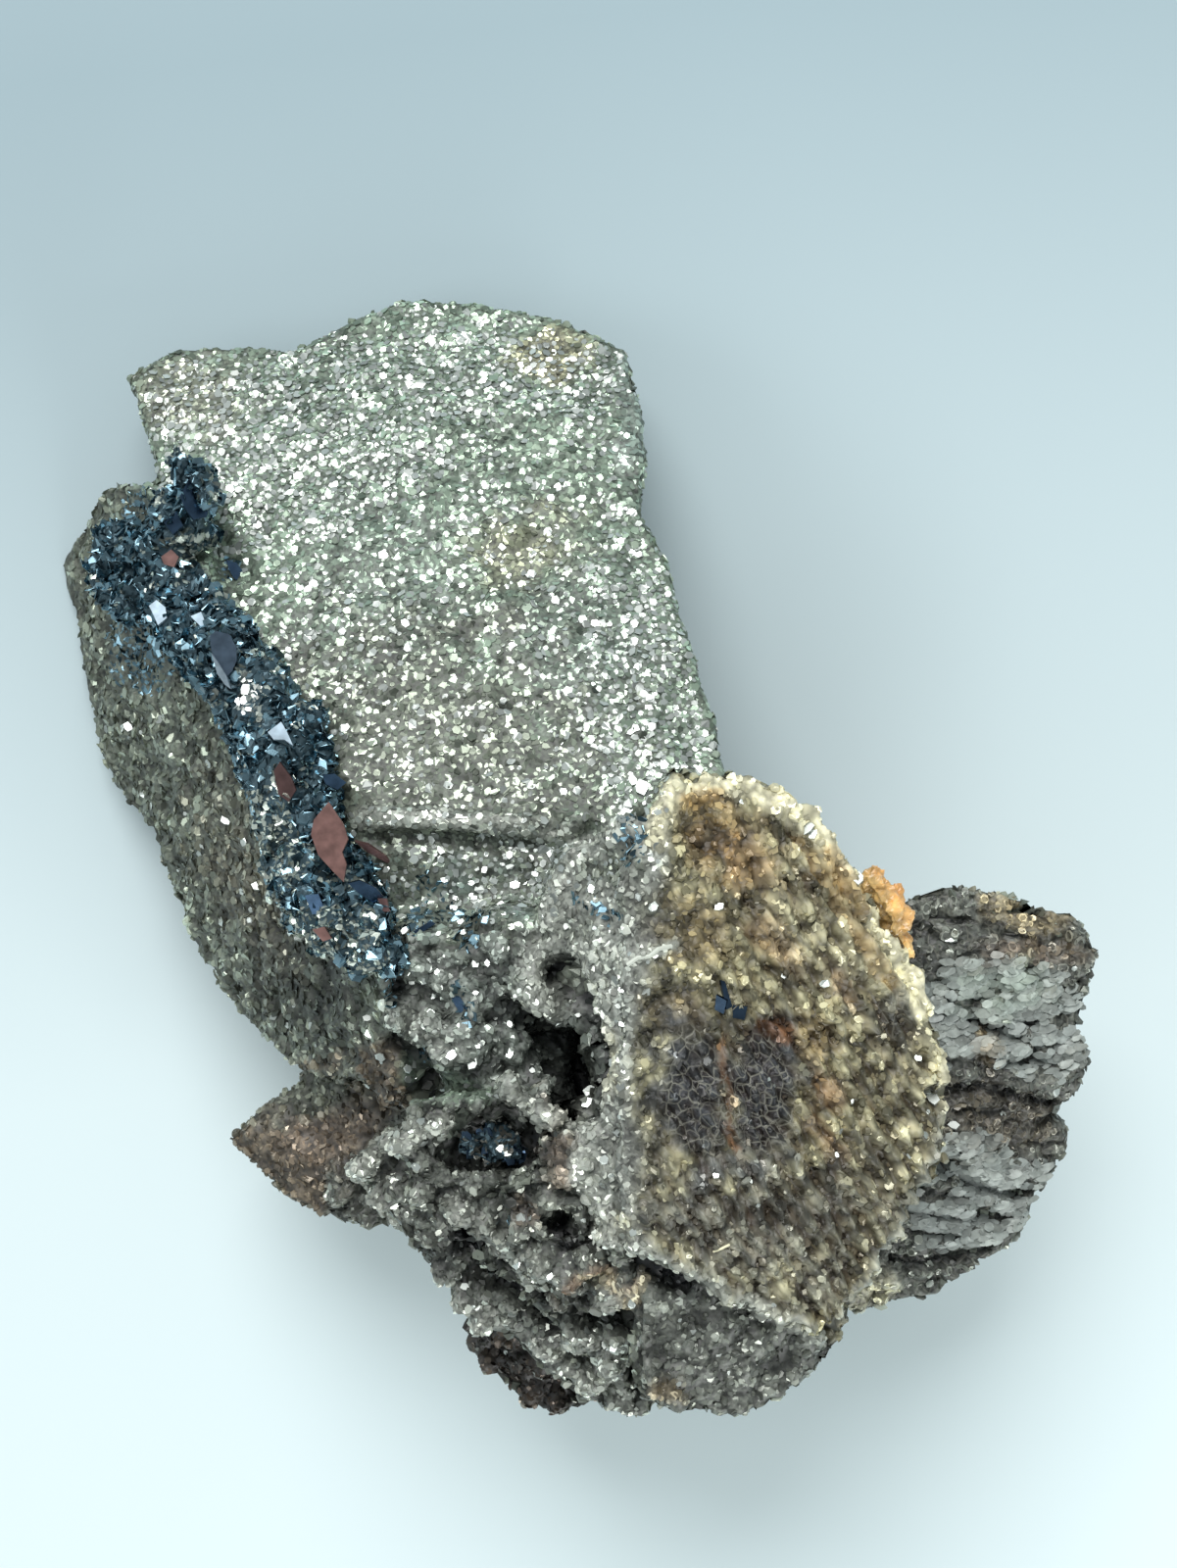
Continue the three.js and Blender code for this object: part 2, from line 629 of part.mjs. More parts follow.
function meshOf(name, solid, look) {
  const { vertProperties, triVerts, numProp, numVert } = solid.getMesh();
  const spots = new Float32Array(numVert * 3);
  for (let i = 0; i < numVert; i++)
    spots.set(vertProperties.subarray(i * numProp, i * numProp + 3), i * 3);
  const geometry = new THREE.BufferGeometry()
    .setAttribute("position", new THREE.BufferAttribute(spots, 3))
    .setIndex(new THREE.BufferAttribute(triVerts, 1));
  geometry.computeVertexNormals();
  const mesh = new THREE.Mesh(geometry, new THREE.MeshStandardMaterial(look));
  mesh.name = name;
  return mesh;
}

const specimen = new THREE.Group();
specimen.add(
  meshOf("drusy_plates", drusyPlates(), COLOURS.druse),
  meshOf("hematite_crust", hematiteCrust(), COLOURS.hematite),
  meshOf("hollow_hematite", hollowHematite(), COLOURS.hematite),
  meshOf("stained_crystal", stainedCrystal(), COLOURS.ironStained),
);

export default specimen;
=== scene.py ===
"""The looks of the hematite specimen: its drusy plates coated with flakes, beads and scales of mica,
its crust of blue-black hematite blades, and its iron stains. Lengths in the tables are millimetres."""

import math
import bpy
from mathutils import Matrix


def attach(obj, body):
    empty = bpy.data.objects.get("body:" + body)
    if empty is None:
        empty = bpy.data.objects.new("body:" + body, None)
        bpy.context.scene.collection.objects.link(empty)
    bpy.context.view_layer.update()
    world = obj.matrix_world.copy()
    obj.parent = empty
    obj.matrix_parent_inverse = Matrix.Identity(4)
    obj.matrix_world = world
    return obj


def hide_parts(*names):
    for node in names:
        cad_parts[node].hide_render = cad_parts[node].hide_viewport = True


bl_info = {
    "name": "Hematite Specimen",
    "version": (1, 0, 0),
    "blender": (4, 5, 0),
    "location": "3D View > Sidebar > Specimen",
    "description": "Dresses the specimen's solids with mica flakes, hematite blades and iron stains",
    "category": "Object",
}

from collections import namedtuple

import bmesh
import bpy
import numpy as np
from bpy.props import FloatProperty, FloatVectorProperty, IntProperty, PointerProperty
from mathutils import Euler, Vector, noise
from mathutils.bvhtree import BVHTree

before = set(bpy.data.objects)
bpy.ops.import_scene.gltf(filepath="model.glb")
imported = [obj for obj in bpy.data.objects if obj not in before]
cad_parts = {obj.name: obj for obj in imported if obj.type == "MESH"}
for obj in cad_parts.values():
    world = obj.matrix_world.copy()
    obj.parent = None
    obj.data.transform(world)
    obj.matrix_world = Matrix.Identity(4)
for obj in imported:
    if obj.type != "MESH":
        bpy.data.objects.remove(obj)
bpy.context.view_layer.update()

MM = 0.001
EYE = Vector((1.0, 10.0, 225.0))  # the camera's place
TRACE_HEIGHT = 25.0  # the height at which the places in the tables are meant
PHOTO_HEIGHT = 1600 * 0.066  # what the picture's height spans at the trace height
SENSOR_WIDTH = 36
KEY_FROM = Vector((-0.16, 0.69, 0.70)).normalized()  # the way to the window light
WINDOW_SPREAD = math.radians(42)  # how wide the window light is
# painted light: the floor is coloured lighter towards the front, as if light fell off towards the back
FLOOR_SLOPE = Vector((0.12, -1.0, 0.0))  # the way in which the floor grows lighter
FLOOR_HALF = 1.5  # half the floor's width, in metres
ROWS_TURN = math.radians(31)  # the front disc's rows lie at a right angle to this direction
ROW_WIDTH = 1.2
LARGE_KNOB, SMALL_KNOB = 1.9, 1.15
MEAN_KNOB = 0.6  # how high knobs stand on average, where their tops are 1
BLADE_THICKNESS = 0.28
FACING_DOWN = -0.1  # the height of a normal below which its place is on the underside
KEPT_FACES = 0.45  # the share of the rock's faces that is aimed for when its underside is made coarser


def linear(red, green, blue):
    """A colour as a screen shows it, in 0 to 255, turned into the renderer's own numbers."""
    return tuple(
        (c / 255 / 12.92) if c <= 10 else ((c / 255 + 0.055) / 1.055) ** 2.4 for c in (red, green, blue)
    )


def colour_property(name, description, shown):
    return FloatVectorProperty(
        name=name, description=description, subtype="COLOR", size=3, min=0, max=1, default=linear(*shown)
    )


def length_property(name, description, default):
    return FloatProperty(
        name=name, description=description, default=default * MM, min=0.01 * MM, subtype="DISTANCE",
        unit="LENGTH", precision=5,
    )


def light_property(name, description, default, **settings):
    return FloatProperty(name=name, description=description, default=default, min=0, **settings)


class SpecimenSizes(bpy.types.PropertyGroup):
    """How large the specimen's crystals are."""

    skin_grain: length_property("Skin grain", "Size of the faces of the rock under the crystals", 0.34)
    crust_grain: length_property("Crust grain", "Size of the faces of the crust under its blades", 0.3)
    fine_grain: length_property("Fine grain", "Size of the nest's and the stained crystal's faces", 0.2)
    coat_depth: length_property("Coat depth", "How far the rock lies inside the solid's faces", 0.26)
    cell_size: length_property("Cell size", "Width of the dark cells with pale walls", 0.75)
    flake_size: length_property("Flake size", "Radius of the largest silvery mica flakes", 0.4)
    flake_spacing: length_property("Flake spacing", "Least distance between the middles of flakes", 0.37)
    glint_size: length_property("Glint size", "Radius of the largest flakes that glint", 0.4)
    glint_spacing: length_property("Glint spacing", "Least distance between the middles of glints", 0.45)
    bead_size: length_property("Bead size", "Radius of the largest beads", 0.48)
    bead_spacing: length_property("Bead spacing", "Least distance between the middles of beads", 0.48)
    scale_size: length_property("Scale size", "Radius of a smooth scale on the right plates", 0.4)
    scale_spacing: length_property("Scale spacing", "Least distance between the middles of scales", 0.34)
    blade_size: length_property("Blade size", "Radius of the largest small hematite blades", 0.68)
    blade_spacing: length_property("Blade spacing", "Least distance between the middles of blades", 0.36)
    nest_spacing: length_property("Nest spacing", "Least distance between the nest's blades", 0.42)
    seed: IntProperty(name="Seed", description="Which scatter of crystals is grown", default=7, min=0)


class SpecimenColours(bpy.types.PropertyGroup):
    """The colours of the minerals and their stains, and the painted shade and light among them."""

    silver: colour_property("Silver", "Mica of the back plate", (168, 187, 166))
    ash: colour_property("Ash", "Pale grey mica of the band and the ridges", (216, 220, 208))
    grey: colour_property("Grey", "Mica of the block between the plates", (182, 190, 180))
    steel: colour_property("Steel grey", "Mica of the steps", (146, 150, 140))
    moss: colour_property("Moss grey", "Mica of the dark facet under the ledge", (172, 188, 176))
    olive: colour_property("Olive", "Mica of the front disc", (186, 180, 144))
    # painted shade in part: a darker mica for the left plate, the root and the undersides, which lie in shade
    shade: colour_property("Shade", "Mica of the left plate and the undersides", (148, 156, 140))
    earth: colour_property("Earth", "Brown mica low on the left and on the foot", (136, 124, 106))
    ochre: colour_property("Ochre", "Yellow-brown stain", (206, 172, 114))
    rust: colour_property("Rust", "Orange-brown stain", (176, 122, 78))
    cream: colour_property("Cream", "Pale rims and powdery spots", (252, 246, 210))
    smoke: colour_property("Smoke", "Smoky grey crystals low on the disc", (104, 104, 98))
    cells: colour_property("Cells", "Dark translucent cells in the middle of the disc", (76, 86, 100))
    walls: colour_property("Cell walls", "Pale net of walls between the dark cells", (164, 162, 148))
    # painted highlight in part: a paler copy of the mica for the faces that catch the window light
    bright: colour_property("Bright mica", "Faces that throw the window light to the eye", (206, 212, 206))
    # painted shade: the near-black colour laid in gaps, crevices, pits and hollows, where shade falls
    gap: colour_property("Gap", "Shaded gaps between the plates", (26, 28, 30))
    slate: colour_property("Slate", "Smooth blue-grey scales", (192, 200, 196))
    pink: colour_property("Pink-brown", "Brownish-pink stain", (184, 162, 142))
    hematite: colour_property("Hematite", "Blue-black metallic blades", (120, 148, 160))
    mirror: colour_property("Mirror brown", "Red-brown mirror faces of hematite", (136, 102, 96))
    # painted shade: a darker copy of the mirror brown for hematite faces in the shade
    umber: colour_property("Umber", "Red-brown hematite faces in the shade", (104, 78, 76))
    # painted light: a paler copy of the hematite for faces that the window lights
    pale_blue: colour_property("Pale blue", "Hematite faces that the window lights", (150, 168, 180))
    steel_blue: colour_property("Steel blue", "Blue-grey hematite faces", (72, 86, 100))
    deep_blue: colour_property("Deep blue", "Dark blue hematite faces", (70, 92, 116))
    # painted shade in part: a darker blue than the crust's blades, for the blades down in the hollow
    hollow_blue: colour_property("Hollow blue", "Hematite blades in the hollow", (62, 78, 96))
    amber: colour_property("Amber", "Iron-stained glassy crystal", (234, 170, 96))


class StageSettings(bpy.types.PropertyGroup):
    """The floor, the lights and the camera."""

    # painted light: the floor's colour runs from darker at the back to lighter at the front
    floor_far: colour_property("Floor at the back", "Its colour towards the window", (168, 188, 195))
    floor_near: colour_property("Floor at the front", "Its colour at the lower right", (214, 228, 230))
    window: light_property("Window light", "Strength of the main light", 2.4)
    low_power: light_property("Low light", "Power of the soft light low at the front", 0.5, unit="POWER")
    side_power: light_property("Side light", "Power of the soft light on the left", 0.4, unit="POWER")
    sky: light_property("Sky", "Strength of the even light from all round", 0.42)


# Places are written as they look from straight above: (right, up) in millimetres at the trace height.


def seen_from_above(spots):
    """Where points of the specimen, in millimetres, show from above."""
    scale = (EYE.z - TRACE_HEIGHT) / (EYE.z - spots[:, 2])
    return (spots[:, 0] - EYE.x) * scale, (spots[:, 1] - EYE.y) * scale


def ease(low, high, value):
    """0 up to the low end, 1 from the high end on, and a soft slope between."""
    share = np.clip((value - low) / (high - low), 0, 1)
    return share * share * (3 - 2 * share)


def wander(spots, size, seed, octaves=2):
    """Soft noise from about -1 to 1, with features of the given size in millimetres."""
    shift = Vector((seed * 17.3, seed * -9.1, seed * 5.7))
    return np.array(
        [noise.fractal(Vector(p) / size + shift, 1.0, 2.0, octaves) for p in spots], dtype=np.float32
    )


def knobs(spots, size, seed):
    """Rounded knobs of the given size: their height from 0 to 1, and the distance from the gaps between."""
    shift = Vector((seed * 3.7, seed * 11.9, seed * -7.3))
    found = np.array([noise.voronoi(Vector(p) / size + shift)[0][:2] for p in spots], dtype=np.float32)
    return np.clip(1 - 1.6 * found[:, 0] ** 2, 0, 1), found[:, 1] - found[:, 0]


def inside(right, up, outline):
    """Which places lie inside an outline."""
    within = np.zeros(len(right), bool)
    for (x0, y0), (x1, y1) in zip(outline, outline[1:] + outline[:1]):
        if y0 != y1:
            crosses = (y0 > up) != (y1 > up)
            within ^= crosses & (right < (x1 - x0) * (up - y0) / (y1 - y0) + x0)
    return within


def off_line(right, up, places):
    """How far places lie from a line through some places."""
    nearest = np.full(len(right), 1e9)
    for (x0, y0), (x1, y1) in zip(places, places[1:]):
        along = ((right - x0) * (x1 - x0) + (up - y0) * (y1 - y0)) / ((x1 - x0) ** 2 + (y1 - y0) ** 2)
        along = np.clip(along, 0, 1)
        off = np.hypot(right - x0 - along * (x1 - x0), up - y0 - along * (y1 - y0))
        nearest = np.minimum(nearest, off)
    return nearest


def blot(right, up, middle, half, turn):
    """1 in the middle of an oval patch, falling to 0 beyond its edge; the edge is at one half."""
    a = math.radians(turn)
    along = (right - middle[0]) * math.cos(a) + (up - middle[1]) * math.sin(a)
    across = (up - middle[1]) * math.cos(a) - (right - middle[0]) * math.sin(a)
    return 1 - np.sqrt((along / half[0]) ** 2 + (across / half[1]) ** 2) / 2


# The specimen's parts, the nearest first. sheen: how metallic its mica shines; knob: how high its knobs
# stand; flakes, beads and glints: how densely they grow; ring: how clearly its beads show a pale rim round
# a dark middle; low and high: the heights it lies between; the last two parts are what no outline holds
Part = namedtuple("Part", "name colour sheen knob flakes beads glints ring low high outline")
PARTS = [
    Part("disc", "olive", 0.2, 1.0, 0.8, 0.25, 0.03, 0.0, 26, 40, [
        (5.4, 2.5), (9, 3), (13, 2), (17, -1), (21, -5), (24, -11), (27, -17), (28, -22), (26, -27),
        (22, -34), (17.5, -38.5), (16, -37.4), (12.7, -35.8), (9.2, -34.2), (6.1, -32.5), (4, -31),
        (3.2, -28.7), (3.6, -25.1), (2.8, -20.5), (3.3, -16.5), (4, -13.2), (4.5, -9.6), (5.4, -5.9),
        (5.3, -2.3)]),
    Part("band", "ash", 0.3, 0.45, 1.0, 0.35, 0.35, 0.05, 22, 40, [
        (5.6, -1.5), (1.3, -2.6), (-1.2, -4.2), (-2.9, -7.9), (-3.9, -10.6), (-3.9, -13.2), (-0.7, -15.8),
        (0.2, -19.1), (-0.9, -23.1), (-1.5, -26.4), (0, -29), (2.6, -31.4), (5, -32), (5, -20), (6, -10)]),
    Part("disc step", "steel", 0.25, 0.9, 0.8, 0.6, 0.15, 0.0, 24, 34, [
        (3, -31), (6.1, -32.5), (9.2, -34.2), (12.7, -35.8), (16, -37.4), (20, -39.5), (14, -46), (6, -47),
        (3.2, -46), (3.2, -36)]),
    Part("dark facet", "moss", 0.55, 0.3, 1.0, 0.0, 1.0, 0.0, 17, 40, [
        (-15.4, -3.2), (0.5, -3.4), (-1, -5), (-2.6, -7.8), (-4.2, -9.4), (-7.9, -8.9), (-11, -10.6),
        (-14.5, -8)]),
    Part("block", "grey", 0.4, 1.4, 1.0, 0.3, 0.15, 0.05, 15, 40, [
        (-13.5, -9), (-11, -10.6), (-7.9, -8.9), (-3.6, -9.6), (-3.4, -13.5), (0.5, -16), (0.6, -23),
        (-5.3, -21.1), (-11.2, -18.5), (-14, -17.4), (-14, -12)]),
    Part("steps", "steel", 0.4, 1.9, 1.0, 0.35, 0.2, 0.05, 12, 40, [
        (-18, -26), (-12, -21.5), (-5.3, -21.1), (0, -23), (-1.3, -26.4), (0, -29), (3.1, -31.2), (3.2, -46),
        (-3, -45), (-8, -41.5), (-12, -37), (-15, -32), (-18, -29)]),
    Part("low left plate", "earth", 0.25, 0.6, 0.8, 0.5, 0.1, 0.0, 0, 40, [
        (-28, -26), (-20, -19), (-13, -17), (-12, -22), (-15.2, -25.7), (-12, -34), (-20, -32)]),
    Part("right plates", "steel", 0.2, 0.7, 0.6, 0.6, 0.05, 0.45, 0, 26.5, [
        (14, -4), (42, -4), (42, -42), (14, -42)]),
    Part("foot", "earth", 0.3, 0.7, 0.9, 0.4, 0.1, 0.0, 0, 18, [(-10, -33), (4, -37), (4, -48), (-10, -48)]),
    Part("root", "shade", 0.3, 1.2, 0.9, 0.4, 0.1, 0.0, 0, 26, [(-12, -4), (-12, -48), (20, -48), (20, -4)]),
    Part("left plate", "shade", 0.45, 0.7, 1.0, 0.2, 0.15, 0.0, 0, 40, [
        (-42, 24), (-31, 21), (-28.5, 16), (-26, 8), (-23, 0), (-21, -6), (-18, -11), (-13, -14), (-13, -17),
        (-20, -19), (-26, -17), (-42, 4)]),
    Part("back plate", "silver", 0.55, 0.25, 1.0, 0.0, 1.0, 0.0, 0, 40, []),
    Part("underside", "shade", 0.3, 0.6, 1.0, 0.2, 0.1, 0.0, 0, 40, []),
]
BACK, UNDERSIDE = len(PARTS) - 2, len(PARTS) - 1

# The pieces that the crystals of some parts go to; those of the other parts go to front and rest
FLAKE_GROUPS = {
    "back plate": "back", "dark facet": "back", "left plate": "left", "root": "under", "underside": "under",
}
BEAD_GROUPS = {"disc": "disc", "right plates": "right"}

# Stains, and patches of painted shade among them: colour, middle, half sizes, turn in degrees, strength, and
# the heights it lies between
STAINS_AND_SHADE = [
    ("pink", (-27.1, 26.4), (4.2, 2.8), 0, 0.3, (0, 40)),
    ("ochre", (-2.6, 29.0), (2.6, 1.8), 0, 0.35, (0, 40)),
    ("ochre", (-6.6, 3.3), (3.4, 4.0), 0, 0.3, (0, 40)),
    ("ochre", (-4.4, 15.8), (4.2, 2.6), 20, 0.25, (0, 40)),
    ("moss", (-14.0, 12.0), (6.0, 9.0), 10, 0.3, (0, 40)),
    ("moss", (-1.0, 9.0), (5.0, 6.0), 0, 0.45, (0, 40)),
    ("moss", (3.4, 24.4), (1.5, 4.6), 0, 0.9, (0, 40)),
    ("moss", (-13.4, 2.6), (3.4, 2.0), 20, 0.8, (0, 40)),
    ("ochre", (7.4, -0.6), (2.4, 1.0), -6, 0.6, (28, 40)),
    ("ochre", (9.0, -3.6), (4.6, 2.4), -20, 0.6, (28, 40)),
    ("rust", (10.2, -5.0), (4.0, 1.6), -30, 0.35, (28, 40)),
    ("ochre", (7.0, -10.0), (3.0, 2.4), -40, 0.4, (28, 40)),
    ("rust", (12.4, -10.6), (2.6, 1.0), -50, 0.4, (28, 40)),
    ("ochre", (5.9, -15.4), (2.2, 1.4), 0, 0.45, (28, 40)),
    ("rust", (16.2, -20.8), (0.9, 1.4), 35, 0.5, (28, 40)),
    ("ochre", (15.2, -17.2), (1.6, 1.4), -50, 0.5, (28, 40)),
    ("rust", (17.4, -13.8), (0.8, 2.2), 35, 0.55, (28, 40)),
    ("rust", (16.2, -24.0), (0.8, 2.4), 40, 0.45, (28, 40)),
    ("cells", (7.2, -20.8), (2.5, 5.0), 8, 1.0, (28, 40)),
    ("cells", (11.8, -21.0), (2.6, 4.6), 0, 1.0, (28, 40)),
    ("cells", (20.9, -15.5), (1.2, 1.9), 0, 0.8, (26, 40)),
    ("smoke", (9.6, -20.6), (5.6, 7.0), 0, 0.4, (28, 40)),
    ("rust", (12.6, -16.6), (1.1, 0.6), -20, 0.7, (28, 40)),
    ("smoke", (4.6, -13.0), (1.8, 5.0), 0, 0.3, (28, 40)),
    ("smoke", (4.6, -25.6), (2.4, 3.6), 0, 0.6, (26, 40)),
    ("slate", (11.6, -30.0), (8.0, 4.6), -10, 0.35, (26, 40)),
    ("smoke", (9.6, -29.4), (5.2, 3.4), -10, 0.6, (26, 40)),
    ("smoke", (17.6, -28.0), (3.0, 4.2), -20, 0.5, (26, 40)),
    ("smoke", (2.6, -7.0), (2.6, 2.0), -30, 0.4, (26, 40)),
    ("cream", (1.8, -29.9), (1.2, 0.9), -20, 0.8, (24, 40)),
    ("cream", (1.2, -19.0), (0.8, 2.4), 0, 0.5, (24, 40)),
    ("pink", (-2.0, -24.4), (1.2, 3.0), 10, 0.7, (15, 40)),
    # painted shade around the hollow above the steps
    ("gap", (-6.6, -24.1), (3.0, 1.8), 0, 0.8, (12, 40)),
    ("pink", (-4.4, -29.1), (1.2, 0.7), -40, 0.6, (12, 40)),
    # painted shade around the hollow above the steps
    ("gap", (-6.2, -24.0), (4.4, 1.6), -10, 0.4, (12, 40)),
    ("pink", (-3.0, -35.0), (1.4, 0.8), -30, 0.5, (12, 40)),
    ("ochre", (5.4, -40.8), (1.8, 0.9), 0, 0.4, (20, 40)),
    # painted shade over the foot
    ("gap", (-4.0, -39.0), (9.0, 5.0), 0, 0.85, (0, 18)),
    ("rust", (-4.4, -40.6), (7.0, 3.6), 0, 0.1, (0, 18)),
    ("rust", (28.4, -12.2), (2.6, 0.3), 6, 0.6, (0, 26)),
    ("rust", (29.0, -14.1), (2.6, 0.3), 2, 0.6, (0, 26)),
    # painted shade in a crease of the right plates
    ("gap", (28.2, -22.4), (5.4, 2.4), -6, 0.5, (0, 26)),
    ("earth", (28.0, -23.0), (5.0, 2.4), 0, 0.6, (0, 26)),
    ("ochre", (27.0, -17.6), (0.9, 1.2), 0, 0.6, (0, 26)),
    # painted shade in a crease of the right plates
    ("gap", (23.6, -13.0), (1.6, 4.0), 20, 0.4, (0, 26)),
    ("pink", (-17.8, -23.6), (4.4, 2.6), -20, 0.45, (0, 20)),
    # painted shade low on the left plate, where it turns under the crust, here and in the gap entry below
    ("shade", (-19.0, -20.6), (5.0, 1.6), 20, 0.8, (0, 24)),
    ("gap", (-17.0, -14.6), (4.0, 2.4), -40, 0.5, (0, 24)),
    ("earth", (-23.0, -6.0), (3.0, 7.0), 20, 0.5, (0, 30)),
    # painted shade low on the left plate
    ("gap", (-20.0, -12.0), (4.0, 6.0), 30, 0.4, (0, 30)),
    # painted shade in a pit and a crevice on the steps
    ("gap", (-1.9, -29.9), (1.2, 1.1), 0, 1.0, (12, 40)),
    ("gap", (-8.8, -31.0), (0.9, 1.0), 20, 0.9, (12, 40)),
    ("cream", (29.6, -8.6), (3.0, 1.5), -24, 0.65, (0, 26)),
    ("pink", (29.4, -11.4), (3.4, 1.0), -6, 0.7, (0, 26)),
    ("silver", (28.0, -13.8), (4.0, 1.6), 4, 0.8, (0, 26)),
    # makes the lower back plate darker
    ("shade", (-10.0, 1.0), (13.0, 11.0), 0, 1.0, (15, 40)),
    ("ochre", (30.0, -9.0), (3.2, 1.6), -24, 0.45, (0, 26)),
    ("cream", (17.0, -10.0), (3.6, 9.0), 28, 0.25, (28, 40)),
    ("cream", (21.6, -22.0), (3.4, 8.0), 0, 0.2, (28, 40)),
    ("cream", (19.0, -34.2), (1.6, 1.2), 20, 0.8, (0, 26)),
]

# Pale ridges, and gaps that are sunk and darkened with painted shade: colour, strength, rise, half width,
# lowest height, and places along it
LINES_WITH_SHADED_GAPS = [
    ("ash", 0.8, 0.5, 0.7, 17, [(-15.2, -2.3), (-12, -2.2), (-9.4, -2.4), (-5.3, -2.9), (-1, -3.2)]),
    ("cream", 1.0, 0.25, 0.7, 26, [
        (4.4, -3.6), (5.4, -0.4), (8.9, 0.4), (11.6, -0.4), (15.2, -2.6), (18.4, -6.2), (20, -9.6),
        (21.5, -12.8), (22.8, -15.4)]),
    ("cream", 0.7, 0.2, 0.5, 26, [(22.8, -15.4), (23.8, -18.8), (24.6, -21.8)]),
    ("ash", 0.4, 0.15, 0.35, 26, [(24.6, -21.8), (23.4, -25.1), (21.5, -29), (19.2, -33), (16.8, -36.6)]),
    ("ochre", 0.6, 0.1, 0.5, 28, [(6.6, -0.9), (8.6, -0.6)]),
    ("ochre", 0.6, 0.1, 0.5, 28, [(16.2, -4.6), (17.2, -6.2), (18.6, -8.4)]),
    ("ochre", 0.35, 0.0, 0.5, 28, [(14.4, -4.0), (16.6, -7), (18.4, -10.4), (20.4, -13.4)]),
    ("rust", 0.4, 0.0, 0.2, 28, [(9.3, -17.2), (9.0, -19), (9.7, -21), (9.4, -22.6), (10.2, -25)]),
    ("ash", 0.6, 0.6, 0.45, 24, [
        (0.6, -30.6), (3, -31.2), (6.1, -32.5), (9.2, -34.2), (12.7, -35.8), (15.8, -37.3)]),
    ("ash", 0.8, 0.6, 0.7, 22, [(2.6, -2.8), (-0.6, -4.8), (-2.2, -7), (-2.8, -9.4)]),
    ("ash", 0.8, 0.4, 0.7, 22, [(0.2, -21), (-0.3, -24), (-0.8, -26), (0.2, -28.4), (1.8, -30.4)]),
    ("ash", 0.7, 0.8, 1.1, 20, [(-3.2, -11.6), (-4, -14), (-2.4, -15.6)]),
    ("ash", 0.7, 0.8, 0.7, 16, [(-5.4, -20.6), (-3.6, -22), (-1.8, -22.9), (-0.6, -23.1)]),
    ("ash", 0.4, 0.8, 1.2, 14, [(-12.6, -15.4), (-11, -16.6), (-9.4, -18)]),
    ("ash", 0.7, 0.6, 0.7, 14, [(-15.4, -26.2), (-13.6, -24.4), (-11.4, -23.6), (-9.6, -22.9)]),
    ("ash", 0.5, 0.3, 0.7, 14, [(-15.4, -26.2), (-14.6, -28), (-12.6, -29.6)]),
    ("ash", 0.3, 0.6, 0.7, 14, [(-8.6, -29), (-6.6, -30.8), (-3.6, -32.6), (-1, -34)]),
    ("pink", 1.0, 0.2, 0.4, 14, [(-1.3, -33.7), (0.3, -32.9), (1.7, -33.7), (2.6, -35)]),
    ("pink", 1.0, 0.2, 0.35, 14, [(2.4, -34.6), (3.6, -33.7), (4.1, -32.6)]),
    ("cream", 0.5, 0.0, 0.35, 14, [(-0.4, -33.2), (1.7, -33.7), (2.6, -35), (3.6, -33.7), (4.1, -32.6)]),
    ("ash", 0.6, 0.5, 0.5, 14, [(-4.2, -33.4), (-2.6, -35.2), (-0.4, -36), (2, -34.8)]),
    ("ash", 0.6, 0.5, 0.6, 18.5, [
        (-12.3, -32.6), (-10.4, -33.8), (-9, -35.2), (-4.8, -37.2), (-1.6, -39.6), (1.4, -41.3),
        (3.3, -41.8)]),
    ("ash", 0.6, 0.5, 0.8, 12, [(-1.8, -37), (0.6, -38.4), (1.4, -40)]),
    ("gap", 1.0, -2.4, 0.9, 12, [(-2.2, -12.4), (-1, -15.2), (-0.2, -18.4), (-0.4, -22)]),
    ("gap", 0.8, -1.0, 0.8, 12, [(-6, -15.6), (-3.6, -16), (-1.6, -18), (-1.4, -20.4)]),
    ("ash", 0.9, 0.3, 0.35, 26, [(2.6, -12.2), (4, -11.5), (5.8, -10.8)]),
    ("gap", 0.8, -1.0, 0.5, 12, [(-13.2, -17.2), (-11.4, -19), (-10.6, -20.4)]),
    # painted shadow under the ledge
    ("gap", 0.3, -0.4, 0.5, 17, [(-14.6, -3.6), (-9, -3.8), (-3, -4.4)]),
    ("gap", 1.0, -1.4, 0.7, 12, [(-8.6, -30.6), (-7.3, -32.4), (-5.3, -33.9), (-3.6, -35.2), (-2.4, -36.6)]),
    ("gap", 0.8, -0.9, 0.35, 12, [(2.2, -35.6), (3, -37.6), (3.2, -39.6), (3.2, -41.8)]),
    ("gap", 0.8, -1.0, 0.8, 12, [(-0.9, -35.9), (1.0, -36.2), (2.6, -36.6)]),
    ("gap", 1.0, -1.0, 0.6, 20, [(2.8, -32.2), (4.4, -32.8), (6.6, -34.1)]),
    ("gap", 0.8, -0.8, 0.6, 10, [(-13.2, -10.4), (-12.8, -14.4)]),
    ("gap", 0.6, -0.7, 0.5, 12, [(-14.4, -29.2), (-11.6, -31.4), (-9.6, -33)]),
    ("gap", 0.9, -0.9, 0.35, 4, [(25.9, -16.0), (27.6, -16.7), (29.4, -17.4)]),
    ("gap", 0.9, -0.9, 0.4, 4, [(23.4, -20.8), (26.4, -20.6), (29.2, -21.2), (31.6, -22)]),
    ("gap", 0.7, -0.6, 0.3, 4, [(26.6, -19.2), (29.6, -19.0), (32.4, -18.6)]),
    ("gap", 0.9, -0.9, 0.45, 2, [(24, -25.9), (27, -27.6), (29.4, -27.8)]),
    ("gap", 0.9, -0.8, 0.4, 2, [(20.4, -32.2), (24, -32.4), (27, -31.4)]),
    ("gap", 0.7, -0.6, 0.3, 2, [(21.6, -28.8), (24.4, -29.4), (27.6, -29.6)]),
]

